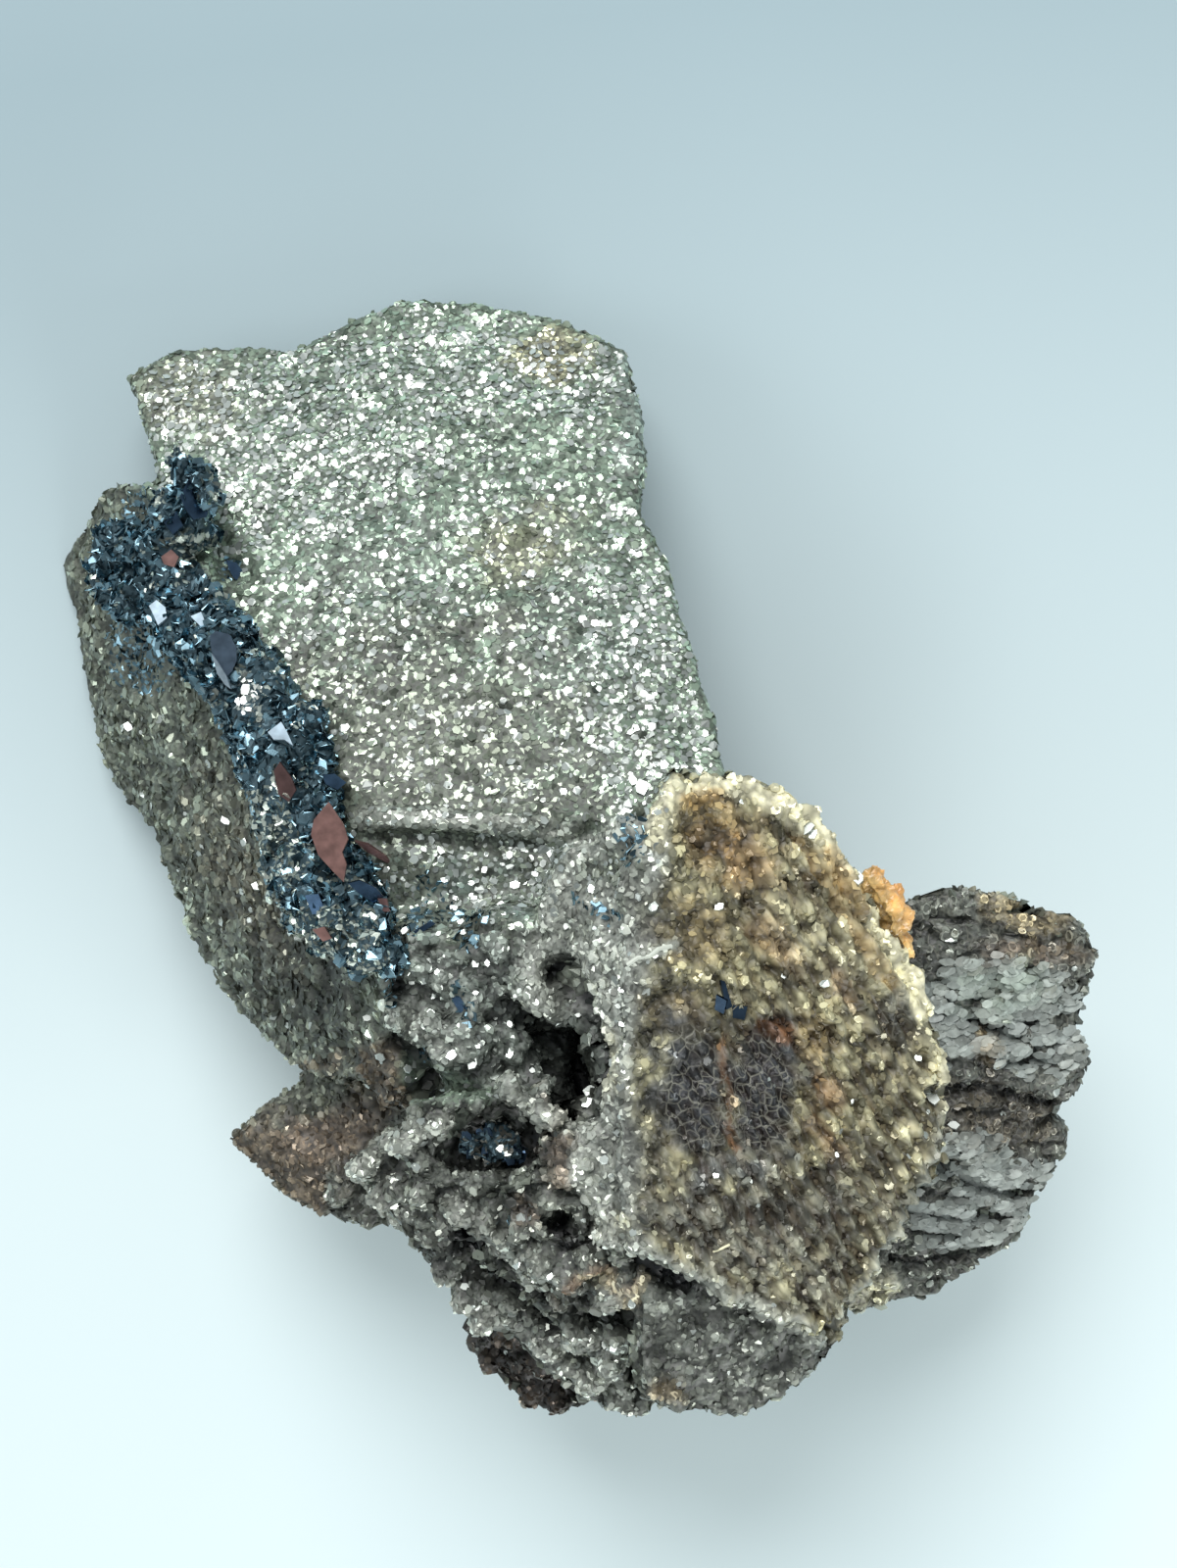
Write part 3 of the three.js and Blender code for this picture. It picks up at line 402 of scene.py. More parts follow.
# Where more flakes glint: middle, half sizes, turn in degrees
SHINE_PATCHES = [
    ((-20.0, 23.0), (9.0, 6.0), 0),
    ((-6.0, 27.5), (9.0, 3.0), 0),
    ((3.4, 5.6), (4.4, 9.0), 10),
    ((-6.5, -6.0), (8.0, 2.6), 0),
]

# Where hematite blades also grow on the plates beside the crust: middle, half sizes, turn in degrees
BLADE_PATCHES = [
    ((-29.6, 17.0), (2.4, 3.0), 0),
    ((-29.4, 10.6), (2.6, 4.4), -20),
    ((-13.4, -11.4), (0.7, 3.4), 0),
    ((-11.6, -9.2), (2.6, 0.6), 25),
    ((-10.6, -6.8), (0.9, 1.1), 0),
    ((-8.4, -8.7), (1.6, 0.5), 0),
    ((-8.4, -15.0), (0.6, 1.4), 25),
    ((-8.6, -10.6), (0.5, 1.0), 0),
    ((0.6, -8.6), (2.4, 0.6), -32),
    ((3.0, -3.8), (0.8, 2.0), -20),
    ((-24.0, 14.6), (0.7, 0.9), 0),
    ((-11.4, -18.6), (0.8, 0.7), 0),
    ((-5.9, -29.7), (0.5, 0.5), 0),
]

# Where mica shows between the crust's blades: middle, half sizes, turn in degrees, strength
CRUST_MICA_PATCHES = [
    ((-21.2, -4.2), (1.6, 4.6), 14, 1.0),
    ((-17.4, -10.6), (4.4, 1.6), -30, 1.0),
    ((-19.6, 8.4), (1.6, 3.2), 30, 0.7),
    ((-14.0, -2.0), (0.8, 3.6), 20, 0.8),
    ((-15.4, -9.6), (1.8, 2.0), 0, 0.9),
    ((-26.8, 15.4), (1.4, 1.8), 0, 0.9),
    ((-23.0, 6.0), (1.1, 1.4), 0, 1.0),
]

# Smooth patches on the right plates: middle, half sizes, turn in degrees
SCALE_PATCHES = [
    ((28.0, -14.0), (4.8, 2.0), -4),
    ((30.0, -17.8), (4.4, 1.9), 2),
    ((23.6, -17.4), (1.6, 3.0), -24),
    ((26.6, -28.6), (4.6, 2.2), 24),
    ((25.0, -25.4), (3.4, 1.6), 8),
]


# Meshes


def linked(name, content):
    """A new object of the scene that holds a mesh, a light or a camera."""
    thing = bpy.data.objects.new(name, content)
    bpy.context.scene.collection.objects.link(thing)
    return thing


def merged_copy(node):
    """A CAD node's mesh with its loose triangles joined at their corners."""
    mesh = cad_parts[node].data.copy()
    skin = bmesh.new()
    skin.from_mesh(mesh)
    bmesh.ops.remove_doubles(skin, verts=skin.verts, dist=1e-6)
    skin.to_mesh(mesh)
    skin.free()
    mesh.materials.clear()
    return mesh


def baked(thing):
    """The object's evaluated mesh, with its modifiers gone."""
    shown = thing.evaluated_get(bpy.context.evaluated_depsgraph_get())
    mesh = bpy.data.meshes.new_from_object(shown)
    thing.modifiers.clear()
    old = thing.data
    thing.data = mesh
    bpy.data.meshes.remove(old)
    mesh.name = thing.name
    return thing


def even_skin(node, name, grain):
    """A CAD node's surface, made anew from faces of one size."""
    thing = linked(name, merged_copy(node))
    skin = thing.modifiers.new("Even skin", "REMESH")
    skin.mode = "VOXEL"
    skin.voxel_size = grain
    return baked(thing)


def vertex_arrays(mesh):
    """A mesh's points in millimetres and its normals."""
    count = len(mesh.vertices)
    spots = np.empty(count * 3, np.float32)
    mesh.vertices.foreach_get("co", spots)
    normals = np.empty(count * 3, np.float32)
    mesh.vertex_normals.foreach_get("vector", normals)
    return spots.reshape(-1, 3) / MM, normals.reshape(-1, 3)


def place_vertices(mesh, spots):
    mesh.vertices.foreach_set("co", (spots * MM).astype(np.float32).ravel())
    mesh.update()


def smoothed(mesh, values, rounds):
    """Values at a mesh's points, evened out over their neighbours."""
    ends = np.empty(len(mesh.edges) * 2, np.int32)
    mesh.edges.foreach_get("vertices", ends)
    a, b = ends.reshape(-1, 2).T
    count = len(mesh.vertices)
    shares = np.bincount(a, minlength=count) + np.bincount(b, minlength=count) + 1
    for _ in range(rounds):
        values = (values + np.bincount(a, values[b], count) + np.bincount(b, values[a], count)) / shares
    return values


def keep_number(mesh, name, values):
    mesh.attributes.new(name, "FLOAT", "POINT").data.foreach_set("value", values.astype(np.float32))


def keep_colour(mesh, name, values):
    rgba = np.ones((len(values), 4), np.float32)
    rgba[:, :3] = values
    mesh.attributes.new(name, "FLOAT_COLOR", "POINT").data.foreach_set("color", rgba.ravel())


def finish_piece(thing, slot, *nodes):
    """Says what a piece rides on and which CAD nodes it replaces, which it hides; its slot is not used."""
    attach(thing, "root")
    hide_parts(*nodes)


# The rock under the crystals


def part_of(spots, normals):
    """The number of the part that each point belongs to."""
    right, up = seen_from_above(spots)
    right = right + 0.4 * wander(spots, 1.6, 51)
    up = up + 0.4 * wander(spots, 1.6, 52)
    numbers = np.full(len(spots), BACK)
    for number in reversed(range(BACK)):
        part = PARTS[number]
        lies = inside(right, up, part.outline) & (spots[:, 2] > part.low) & (spots[:, 2] < part.high)
        numbers[lies] = number
    numbers[normals[:, 2] < FACING_DOWN] = UNDERSIDE
    return numbers


def line_share(right, up, height, half, low, places, rough):
    """1 on a line with ragged edges, 0 off it and below its lowest height."""
    near = ease(1.5, 0.5, off_line(right, up, places) / half + rough)
    return near * (height > low)


def toward(colours, goal, share):
    """Colours moved by a share of the way to one colour."""
    return colours + (np.array(goal) - colours) * share[:, None]


def stained_and_shaded(spots, top_side, coat, colours):
    """The colour of the crystals at each point, with the stains and the patches of painted shade over it."""
    right, up = seen_from_above(spots)
    height = spots[:, 2]
    rough = 0.35 * wander(spots, 1.8, 3, 3)
    for colour, middle, half, turn, strength, (low, high) in STAINS_AND_SHADE:
        within = (height > low) & (height < high)
        share = ease(0.3, 0.75, blot(right, up, middle, half, turn) + rough) * strength
        coat = toward(coat, getattr(colours, colour), share * within * top_side)
    return coat


def lined(spots, top_side, coat, colours):
    """The colour of the crystals at each point, with the pale ridges and the painted shade of the gaps over
    it.
    """
    right, up = seen_from_above(spots)
    rough = 0.4 * wander(spots, 1.0, 4)
    for colour, strength, _, half, low, places in LINES_WITH_SHADED_GAPS:
        share = line_share(right, up, spots[:, 2], half, low, places, rough) * strength
        coat = toward(coat, getattr(colours, colour), share * top_side)
    return coat


def patch_share(spots, patches, size, seed):
    """1 inside any of some oval patches with ragged edges, and 0 outside."""
    right, up = seen_from_above(spots)
    rough = 0.25 * wander(spots, size, seed)
    share = np.zeros(len(spots), np.float32)
    for middle, half, turn in patches:
        share = np.maximum(share, ease(0.42, 0.55, blot(right, up, middle, half, turn) + rough))
    return share


def row_waves(spots):
    """The front disc's rows of beads, which run down to the right: 1 along a row, 0 between rows."""
    right, up = seen_from_above(spots)
    across = right * math.cos(ROWS_TURN) + up * math.sin(ROWS_TURN)
    return 0.5 + 0.5 * np.cos((across + 0.5 * wander(spots, 3.0, 21, 2)) * 2 * math.pi / ROW_WIDTH)


def thin_underside(rock):
    """Leaves the rock fewer faces where it looks down."""
    _, normals = vertex_arrays(rock.data)
    looking_down = np.flatnonzero(normals[:, 2] < FACING_DOWN).tolist()
    rock.vertex_groups.new(name="underside").add(looking_down, 1.0, "REPLACE")
    fewer = rock.modifiers.new("Fewer faces underneath", "DECIMATE")
    fewer.ratio = KEPT_FACES
    fewer.vertex_group = "underside"
    baked(rock)
    rock.vertex_groups.clear()


class Ground:
    """The rock's points, and what its shape, its colours and its crystals follow at each of them."""

    def __init__(self, mesh):
        self.mesh = mesh
        self.spots, self.normals = vertex_arrays(mesh)
        self.right, self.up = seen_from_above(self.spots)
        self.numbers = part_of(self.spots, self.normals)
        self.knob = self.trait("knob")
        self.large_knob, self.large_gap = knobs(self.spots, LARGE_KNOB, 1)
        self.small_knob, self.small_gap = knobs(self.spots, SMALL_KNOB, 2)
        self.top_side = ease(-0.3, 0.2, self.normals[:, 2])
        self.on_disc = self.of_part([part.name == "disc" for part in PARTS])
        self.rows = row_waves(self.spots)
        self.in_rows = self.on_disc * ease(9, 16, self.right - 0.3 * self.up)
        self.on_right = self.of_part([part.name == "right plates" for part in PARTS])
        self.creases = self.on_right * ease(0.12, 0.4, wander(self.spots * (0.35, 1.2, 1.0), 1.0, 17))

    def of_part(self, values):
        """Each part's value at its points, evened out where two parts meet."""
        return smoothed(self.mesh, np.array(values, np.float64)[self.numbers], 2)

    def trait(self, name):
        return self.of_part([getattr(part, name) for part in PARTS])


def shape_rock(ground, coat_depth):
    """Raises knobs, rows and ridges on the rock, and sinks its gaps and creases."""
    spots = ground.spots
    large, small = ground.large_knob - MEAN_KNOB, ground.small_knob - MEAN_KNOB
    lift = ground.knob * (0.8 * large + 0.4 * small) + 0.3 * wander(spots, 4.0, 1)
    lift += ground.in_rows * (ground.rows - 0.5) * 0.8 - 0.6 * ground.creases - coat_depth
    rough = 0.3 * wander(spots, 1.0, 4)
    for _, _, rise, half, low, places in LINES_WITH_SHADED_GAPS:
        near = line_share(ground.right, ground.up, spots[:, 2], half, low, places, rough)
        lift += rise * near * ground.top_side
    moved = spots + ground.normals * (lift * ease(0.2, 1.6, spots[:, 2]))[:, None]
    moved[:, 2] = np.maximum(moved[:, 2], 0)
    place_vertices(ground.mesh, moved)


def coat_of(ground, colours):
    """The colour at each point: its part's, stained, with painted shade between knobs, and ridges and shaded
    gaps over it.
    """
    spots = ground.spots
    base = [ground.of_part([getattr(colours, part.colour)[k] for part in PARTS]) for k in range(3)]
    coat = stained_and_shaded(spots, ground.top_side, np.stack(base, axis=1), colours)
    knob = np.minimum(ground.knob, 1)
    # painted shade: darker in the gaps between knobs, between the disc's rows and in the right plates'
    # creases; painted highlight: lighter on the knobs' tops
    depth = 0.3 + 0.7 * ease(0.0, 0.3, ground.large_gap)
    depth = (1 - knob) + knob * depth * (0.7 + 0.6 * ground.large_knob)
    depth *= 0.7 + 0.3 * ease(0.0, 0.3, ground.small_gap)
    depth *= (1 - 0.25 * ground.in_rows * (1 - ground.rows)) * (1 - 0.5 * ground.creases)
    depth *= 1 + 0.3 * wander(spots, 1.3, 8) + 0.2 * wander(spots, 6.0, 9)
    coat = toward(coat * depth[:, None], colours.rust, 0.08 * ground.in_rows * (1 - ground.rows))
    return np.clip(lined(spots, ground.top_side, coat, colours), 0.004, 1)


def dark_cell_share(ground):
    """1 inside the patches of dark cells, and 0 outside."""
    share = np.zeros(len(ground.spots))
    for colour, middle, half, turn, strength, (low, _) in STAINS_AND_SHADE:
        if colour == "cells":
            patch = ease(0.48, 0.62, blot(ground.right, ground.up, middle, half, turn)) * strength
            share = np.maximum(share, patch * (ground.spots[:, 2] > low))
    return share


def keep_growth(ground):
    """Keeps on the rock how densely each kind of crystal grows, and how the crystals look."""
    mesh, spots = ground.mesh, ground.spots
    dark_cells = dark_cell_share(ground)
    blades = patch_share(spots, BLADE_PATCHES, 0.9, 12) * ground.top_side
    scales = patch_share(spots, SCALE_PATCHES, 1.6, 11) * ground.on_right
    bare = (1 - scales) * (1 - blades) * ease(0.7, 1.2, spots[:, 2]) * (1 - ground.creases)
    shine = 0.07 + 0.13 * ease(-2, 16, ground.up) + 0.2 * ease(-0.3, 0.4, wander(spots, 5.0, 13))
    shine += 0.9 * patch_share(spots, SHINE_PATCHES, 3.0, 15)
    keep_number(mesh, "sheen", ground.trait("sheen"))
    keep_number(mesh, "ring", np.maximum(ground.trait("ring"), dark_cells))
    keep_number(mesh, "scales", scales * (1 - ground.creases))
    keep_number(mesh, "blades", blades)
    keep_number(mesh, "wax", ground.on_disc * (1 - dark_cells))
    keep_number(mesh, "rows", ground.in_rows)
    keep_number(mesh, "glints", ground.trait("glints") * bare * shine)
    flakes = ground.trait("flakes") * bare * (1 - 0.9 * dark_cells) * (1 - 0.4 * ground.in_rows)
    beads = ground.trait("beads") * bare * (1 - 0.75 * dark_cells)
    for kind, shares, groups, others in (
        ("flakes_", flakes, FLAKE_GROUPS, "front"), ("beads_", beads, BEAD_GROUPS, "rest"),
    ):
        grown = np.array([groups.get(part.name, others) for part in PARTS])[ground.numbers]
        for name in sorted({*groups.values(), others}):
            keep_number(mesh, kind + name, shares * (grown == name))


class SPECIMEN_OT_rock(bpy.types.Operator):
    """Make the rough rock that the crystals coat, with the colours and shares of what grows on it"""

    bl_idname = "specimen.rock"
    bl_label = "Rock"

    def execute(self, context):
        sizes, colours = context.scene.specimen_sizes, context.scene.specimen_colours
        rock = even_skin("drusy_plates", "rock", sizes.skin_grain)
        thin_underside(rock)
        ground = Ground(rock.data)
        shape_rock(ground, sizes.coat_depth / MM)
        # the coat holds the crystals' colour with its stains and its painted shade
        keep_colour(rock.data, "coat", coat_of(ground, colours))
        keep_growth(ground)
        rock.data.shade_smooth()
        rock.data.materials.append(rock_material(sizes.cell_size, colours.walls))
        finish_piece(rock, "druse", "drusy_plates")
        return {"FINISHED"}


# Materials


def new_material(name, metallic=0.0, roughness=0.5, colour=(0.5, 0.5, 0.5)):
    material = bpy.data.materials.new(name)
    material.use_nodes = True
    shader = material.node_tree.nodes["Principled BSDF"]
    shader.inputs["Metallic"].default_value = metallic
    shader.inputs["Roughness"].default_value = roughness
    shader.inputs["Base Color"].default_value = (*colour, 1)
    return material, material.node_tree, shader


def attribute_node(tree, name):
    node = tree.nodes.new("ShaderNodeAttribute")
    node.attribute_name = name
    return node


def mixed(tree, blend, factor, first, second):
    """A colour mix; each input is a socket or a plain value."""
    node = tree.nodes.new("ShaderNodeMix")
    node.data_type = "RGBA"
    node.blend_type = blend
    for socket, value in zip((node.inputs[0], node.inputs[6], node.inputs[7]), (factor, first, second)):
        if isinstance(value, bpy.types.NodeSocket):
            tree.links.new(value, socket)
        else:
            socket.default_value = value
    return node.outputs[2]


def ranged(tree, value, low, high, from_low=0.0, from_high=1.0):
    """A value moved from one range to another, and held inside it."""
    node = tree.nodes.new("ShaderNodeMapRange")
    tree.links.new(value, node.inputs["Value"])
    node.inputs["From Min"].default_value = from_low
    node.inputs["From Max"].default_value = from_high
    node.inputs["To Min"].default_value = low
    node.inputs["To Max"].default_value = high
    return node.outputs["Result"]


def mottle(tree, scale, low, high, detail=3):
    """A noise pattern on Object coordinates, from low to high."""
    where = tree.nodes.new("ShaderNodeTexCoord")
    grain = tree.nodes.new("ShaderNodeTexNoise")
    grain.inputs["Scale"].default_value = scale
    grain.inputs["Detail"].default_value = detail
    tree.links.new(where.outputs["Object"], grain.inputs["Vector"])
    return ranged(tree, grain.outputs["Fac"], low, high, 0.3, 0.7)


def multiplied(tree, first, second):
    node = tree.nodes.new("ShaderNodeMath")
    node.operation = "MULTIPLY"
    tree.links.new(first, node.inputs[0])
    tree.links.new(second, node.inputs[1])
    return node.outputs[0]


def rounded_grains(tree, size, stretch):
    """Rounded grains, drawn out along the front disc's rows: 1 on top of a grain and 0 between grains."""
    where = tree.nodes.new("ShaderNodeTexCoord")
    turned = tree.nodes.new("ShaderNodeMapping")
    turned.vector_type = "TEXTURE"
    turned.inputs["Rotation"].default_value = (0, 0, ROWS_TURN - math.pi / 2)
    turned.inputs["Scale"].default_value = (stretch, 1, 1)
    tree.links.new(where.outputs["Object"], turned.inputs["Vector"])
    grains = tree.nodes.new("ShaderNodeTexVoronoi")
    grains.inputs["Scale"].default_value = 1 / size
    tree.links.new(turned.outputs[0], grains.inputs["Vector"])
    return ranged(tree, grains.outputs["Distance"], 1.0, 0.0, 0.15, 0.75)


def rock_material(cell_size, walls):
    """Dark speckled rock, its darkness partly its own and partly painted shade between the crystals; waxy and
    grained on the front disc, with painted shade between the grains; with a net of pale walls between rounded
    cells where crystals are ringed."""
    material, tree, shader = new_material("rock", roughness=0.45)
    coat = attribute_node(tree, "coat").outputs["Color"]
    ring = attribute_node(tree, "ring").outputs["Fac"]
    wax = attribute_node(tree, "wax").outputs["Fac"]
    rows = attribute_node(tree, "rows").outputs["Fac"]
    small_grains = rounded_grains(tree, 0.6 * MM, 1.1)
    relief = mixed(tree, "MIX", rows, small_grains, rounded_grains(tree, 0.9 * MM, 1.25))
    # painted shade in part: the speckle darkens the rock that shows between the crystals
    speckled = mixed(tree, "MULTIPLY", 1.0, coat, mottle(tree, 2600, 0.12, 0.75))
    # painted shade: the disc's grains are darker between them and lighter on their tops
    waxy = mixed(tree, "MULTIPLY", 1.0, coat, ranged(tree, relief, 0.46, 1.28))
    waxy = mixed(tree, "MULTIPLY", 1.0, waxy, mottle(tree, 1500, 0.75, 1.15))
    base = mixed(tree, "MIX", wax, speckled, waxy)
    where = tree.nodes.new("ShaderNodeTexCoord")
    cells = tree.nodes.new("ShaderNodeTexVoronoi")
    cells.feature = "DISTANCE_TO_EDGE"
    cells.inputs["Scale"].default_value = 1 / cell_size
    tree.links.new(where.outputs["Object"], cells.inputs["Vector"])
    net = multiplied(tree, ranged(tree, cells.outputs["Distance"], 0.75, 0.0, 0.01, 0.1), ring)
    net = multiplied(tree, net, mottle(tree, 700, 0.1, 1.0))
    tree.links.new(mixed(tree, "MIX", net, base, (*walls, 1)), shader.inputs["Base Color"])
    bump = tree.nodes.new("ShaderNodeBump")
    bump.inputs["Strength"].default_value = 0.8
    bump.inputs["Distance"].default_value = 0.24 * MM
    domes = multiplied(tree, ranged(tree, cells.outputs["Distance"], 0.0, 1.0, 0.0, 0.45), ring)
    domes = mixed(tree, "MIX", wax, domes, relief)
    tree.links.new(domes, bump.inputs["Height"])
    tree.links.new(bump.outputs["Normal"], shader.inputs["Normal"])
    return material


def mica_material(name, rough=(0.1, 0.42), tones=(0.25, 1.75), ringed=False):
    """Mica crystals, each with its own tone; ringed beads have a dark middle and a pale rim."""
    material, tree, shader = new_material(name)
    coat = attribute_node(tree, "coat").outputs["Color"]
    tone = attribute_node(tree, "tone").outputs["Fac"]
    colour = mixed(tree, "MULTIPLY", 1.0, coat, ranged(tree, tone, *tones))
    if ringed:
        rim = attribute_node(tree, "rim").outputs["Fac"]
        ring = attribute_node(tree, "ring").outputs["Fac"]
        shade = mixed(tree, "MULTIPLY", 1.0, colour, ranged(tree, rim, 0.3, 2.2))
        pale_rim = (0.3, 0.29, 0.24, 1)
        shade = mixed(tree, "ADD", ranged(tree, rim, 0.0, 0.2), shade, pale_rim)
        colour = mixed(tree, "MIX", ring, colour, shade)
    tree.links.new(colour, shader.inputs["Base Color"])
    tree.links.new(attribute_node(tree, "sheen").outputs["Fac"], shader.inputs["Metallic"])
    tree.links.new(ranged(tree, tone, rough[1], rough[0]), shader.inputs["Roughness"])
    return material


def bright_mica():
    """Mica that throws the window light to the eye, paler than the other mica as a painted highlight in part,
    each face a little lighter or darker.
    """
    material, tree, shader = new_material("bright mica", 0.6, 0.25)
    tone = attribute_node(tree, "tone").outputs["Fac"]
    bright = (*bpy.context.scene.specimen_colours.bright, 1)
    shade = mixed(tree, "MULTIPLY", 1.0, bright, ranged(tree, tone, 0.45, 1.2))
    tree.links.new(shade, shader.inputs["Base Color"])
    tree.links.new(ranged(tree, tone, 0.4, 0.2), shader.inputs["Roughness"])
    return material


def blade_material(name, colour, roughness=0.22, metallic=1.0):
    """Metallic hematite, each blade a little lighter or darker and faintly mottled."""
    material, tree, shader = new_material(name, metallic, roughness)
    tone = attribute_node(tree, "tone").outputs["Fac"]
    shade = mixed(tree, "MULTIPLY", 1.0, (*colour, 1), ranged(tree, tone, 0.35, 1.6))
    shade = mixed(tree, "MULTIPLY", 1.0, shade, mottle(tree, 1400, 0.7, 1.25))
    tree.links.new(shade, shader.inputs["Base Color"])
    return material


# Geometry Nodes: crystals scattered over a skin


class TreeMaker:
    """Adds nodes to a Geometry Nodes tree and links them, with sockets or plain values as inputs."""

    def __init__(self, name):
        self.tree = bpy.data.node_groups.new(name, "GeometryNodeTree")
        self.given = None
        self.sockets = {}

    def socket(self, name, kind, default=None):
        made = self.tree.interface.new_socket(name=name, in_out="INPUT", socket_type="NodeSocket" + kind)
        if default is not None:
            made.default_value = default
        self.sockets[name] = made.identifier

    def start(self):
        self.given = self.tree.nodes.new("NodeGroupInput").outputs
        self.tree.interface.new_socket(name="Geometry", in_out="OUTPUT", socket_type="NodeSocketGeometry")

    def node(self, kind, inputs=None, **settings):
        made = self.tree.nodes.new(kind)
        for key, value in settings.items():
            setattr(made, key, value)
        for key, value in (inputs or {}).items():
            self.feed(made.inputs[key], value)
        return made

    def feed(self, socket, value):
        if isinstance(value, bpy.types.Node):
            value = value.outputs[0]
        if isinstance(value, bpy.types.NodeSocket):
            self.tree.links.new(value, socket)
        else:
            socket.default_value = value

    def chance(self, low, high, seed):
        """A random number for each element."""
        made = self.node("FunctionNodeRandomValue", {2: low, 3: high, 8: seed}, data_type="FLOAT")
        return made.outputs[1]

    def math(self, operation, first, second):
        return self.node("ShaderNodeMath", {0: first, 1: second}, operation=operation).outputs[0]

    def vector(self, x, y, z):
        return self.node("ShaderNodeCombineXYZ", {"X": x, "Y": y, "Z": z}).outputs[0]

    def stored(self, geometry, name, value, domain):
        """The geometry with a number kept on each element under a name."""
        return self.node(
            "GeometryNodeStoreNamedAttribute",
            {"Geometry": geometry, "Name": name, "Value": value},
            data_type="FLOAT", domain=domain,
        ).outputs[0]

    def finish(self, geometry):
        end = self.tree.nodes.new("NodeGroupOutput")
        self.feed(end.inputs["Geometry"], geometry)


def crystal_shape(maker, number, sides, depth, steps):
    """A crystal of radius 1 with its point down: each step rises by a height and narrows by a factor.
    Its corners are a little uneven, and its number decides how. The attribute rim is 1 at its outside
    and 0 in the middle of its top."""
    cone = maker.node(
        "GeometryNodeMeshCone",
        {"Vertices": sides, "Radius Top": 0.0, "Radius Bottom": 1.0, "Depth": depth},
        fill_type="NGON",
    )
    shape = maker.node("GeometryNodeTransform", {"Geometry": cone, "Rotation": (math.pi, 0, 0)}).outputs[0]
    facing = maker.node("ShaderNodeSeparateXYZ", {0: maker.node("GeometryNodeInputNormal")}).outputs["Z"]
    top = maker.math("GREATER_THAN", facing, 0.9)
    for rise, narrower in steps:
        raised = maker.node(
            "GeometryNodeExtrudeMesh",
            {"Mesh": shape, "Selection": top, "Offset Scale": rise, "Individual": False},
            mode="FACES",
        )
        top = raised.outputs["Top"]
        shape = maker.node(
            "GeometryNodeScaleElements",
            {"Geometry": raised, "Selection": top, "Scale": narrower},
            domain="FACE",
        ).outputs[0]
    spot = maker.node("ShaderNodeSeparateXYZ", {0: maker.node("GeometryNodeInputPosition")}).outputs
    out = maker.math("ADD", maker.math("POWER", spot["X"], 2.0), maker.math("POWER", spot["Y"], 2.0))
    shape = maker.stored(shape, "rim", maker.math("GREATER_THAN", out, 0.44), "POINT")
    aside, upward = 0.17, 0.07
    uneven = maker.node(
        "FunctionNodeRandomValue",
        {0: (-aside, -aside, -upward), 1: (aside, aside, upward), 8: number},
        data_type="FLOAT_VECTOR",
    )
    return maker.node("GeometryNodeSetPosition", {"Geometry": shape, "Offset": uneven}).outputs[0]


# What a scatter tree is given: name, kind and default, with lengths in metres and angles in radians
SCATTER_INPUTS = [
    ("Geometry", "Geometry", None),
    ("Share", "String", None),
    ("Spacing", "Float", 0.0005),
    ("Radius", "Float", 0.0004),
    ("Smallest", "Float", 0.6),
    ("Slimness", "Float", 0.2),
    ("Tilt", "Float", 0.2),
    ("Lean", "Float", 0.0),
    ("Spin", "Float", math.pi),
    ("Sunk", "Float", 0.0),
    ("Row Direction", "Vector", None),
    ("Seed", "Int", 0),
    ("Material", "Material", None),
]


def spread_points(maker):
    """Points on the skin, as densely as the share says and no nearer to each other than the spacing."""
    given = maker.given
    share = maker.node("GeometryNodeInputNamedAttribute", {"Name": given["Share"]}, data_type="FLOAT")
    density = maker.math("DIVIDE", 5.0, maker.math("MULTIPLY", given["Spacing"], given["Spacing"]))
    return maker.node(
        "GeometryNodeDistributePointsOnFaces",
        {
            "Mesh": given["Geometry"], "Distance Min": given["Spacing"], "Density Max": density,
            "Density Factor": share, "Seed": given["Seed"],
        },
        distribute_method="POISSON",
    )


def chosen_turn(maker, spread):
    """How each crystal stands: along its row, then spun, leaned and tilted by chance."""
    given = maker.given
    placed = maker.node(
        "FunctionNodeAlignRotationToVector",
        {"Rotation": spread.outputs["Rotation"], "Vector": given["Row Direction"]},
        axis="Y", pivot_axis="Z",
    )
    minus_tilt = maker.math("MULTIPLY", given["Tilt"], -1.0)
    minus_spin = maker.math("MULTIPLY", given["Spin"], -1.0)
    spin = maker.vector(0.0, 0.0, maker.chance(minus_spin, given["Spin"], 3))
    lean = maker.math("ADD", given["Lean"], maker.chance(minus_tilt, given["Tilt"], 1))
    turn = maker.vector(lean, maker.chance(minus_tilt, given["Tilt"], 2), 0.0)
    for angles in (spin, turn):
        turned = maker.node("FunctionNodeEulerToRotation", {0: angles})
        placed = maker.node("FunctionNodeRotateRotation", {0: placed, 1: turned}, rotation_space="LOCAL")
    return placed


def chosen_scale(maker):
    """How wide, long and high each crystal is by chance; most are small and a few are large."""
    given = maker.given
    dice = maker.chance(0.0, 1.0, 4)
    span = maker.math("SUBTRACT", 1.0, given["Smallest"])
    larger = maker.math("MULTIPLY", maker.math("MULTIPLY", dice, dice), span)
    size = maker.math("MULTIPLY", given["Radius"], maker.math("ADD", given["Smallest"], larger))
    slimmer = maker.math("SUBTRACT", 1.0, maker.chance(0.0, given["Slimness"], 5))
    height = maker.math("MULTIPLY", size, maker.chance(0.7, 1.3, 6))
    return maker.vector(maker.math("MULTIPLY", size, slimmer), size, height)


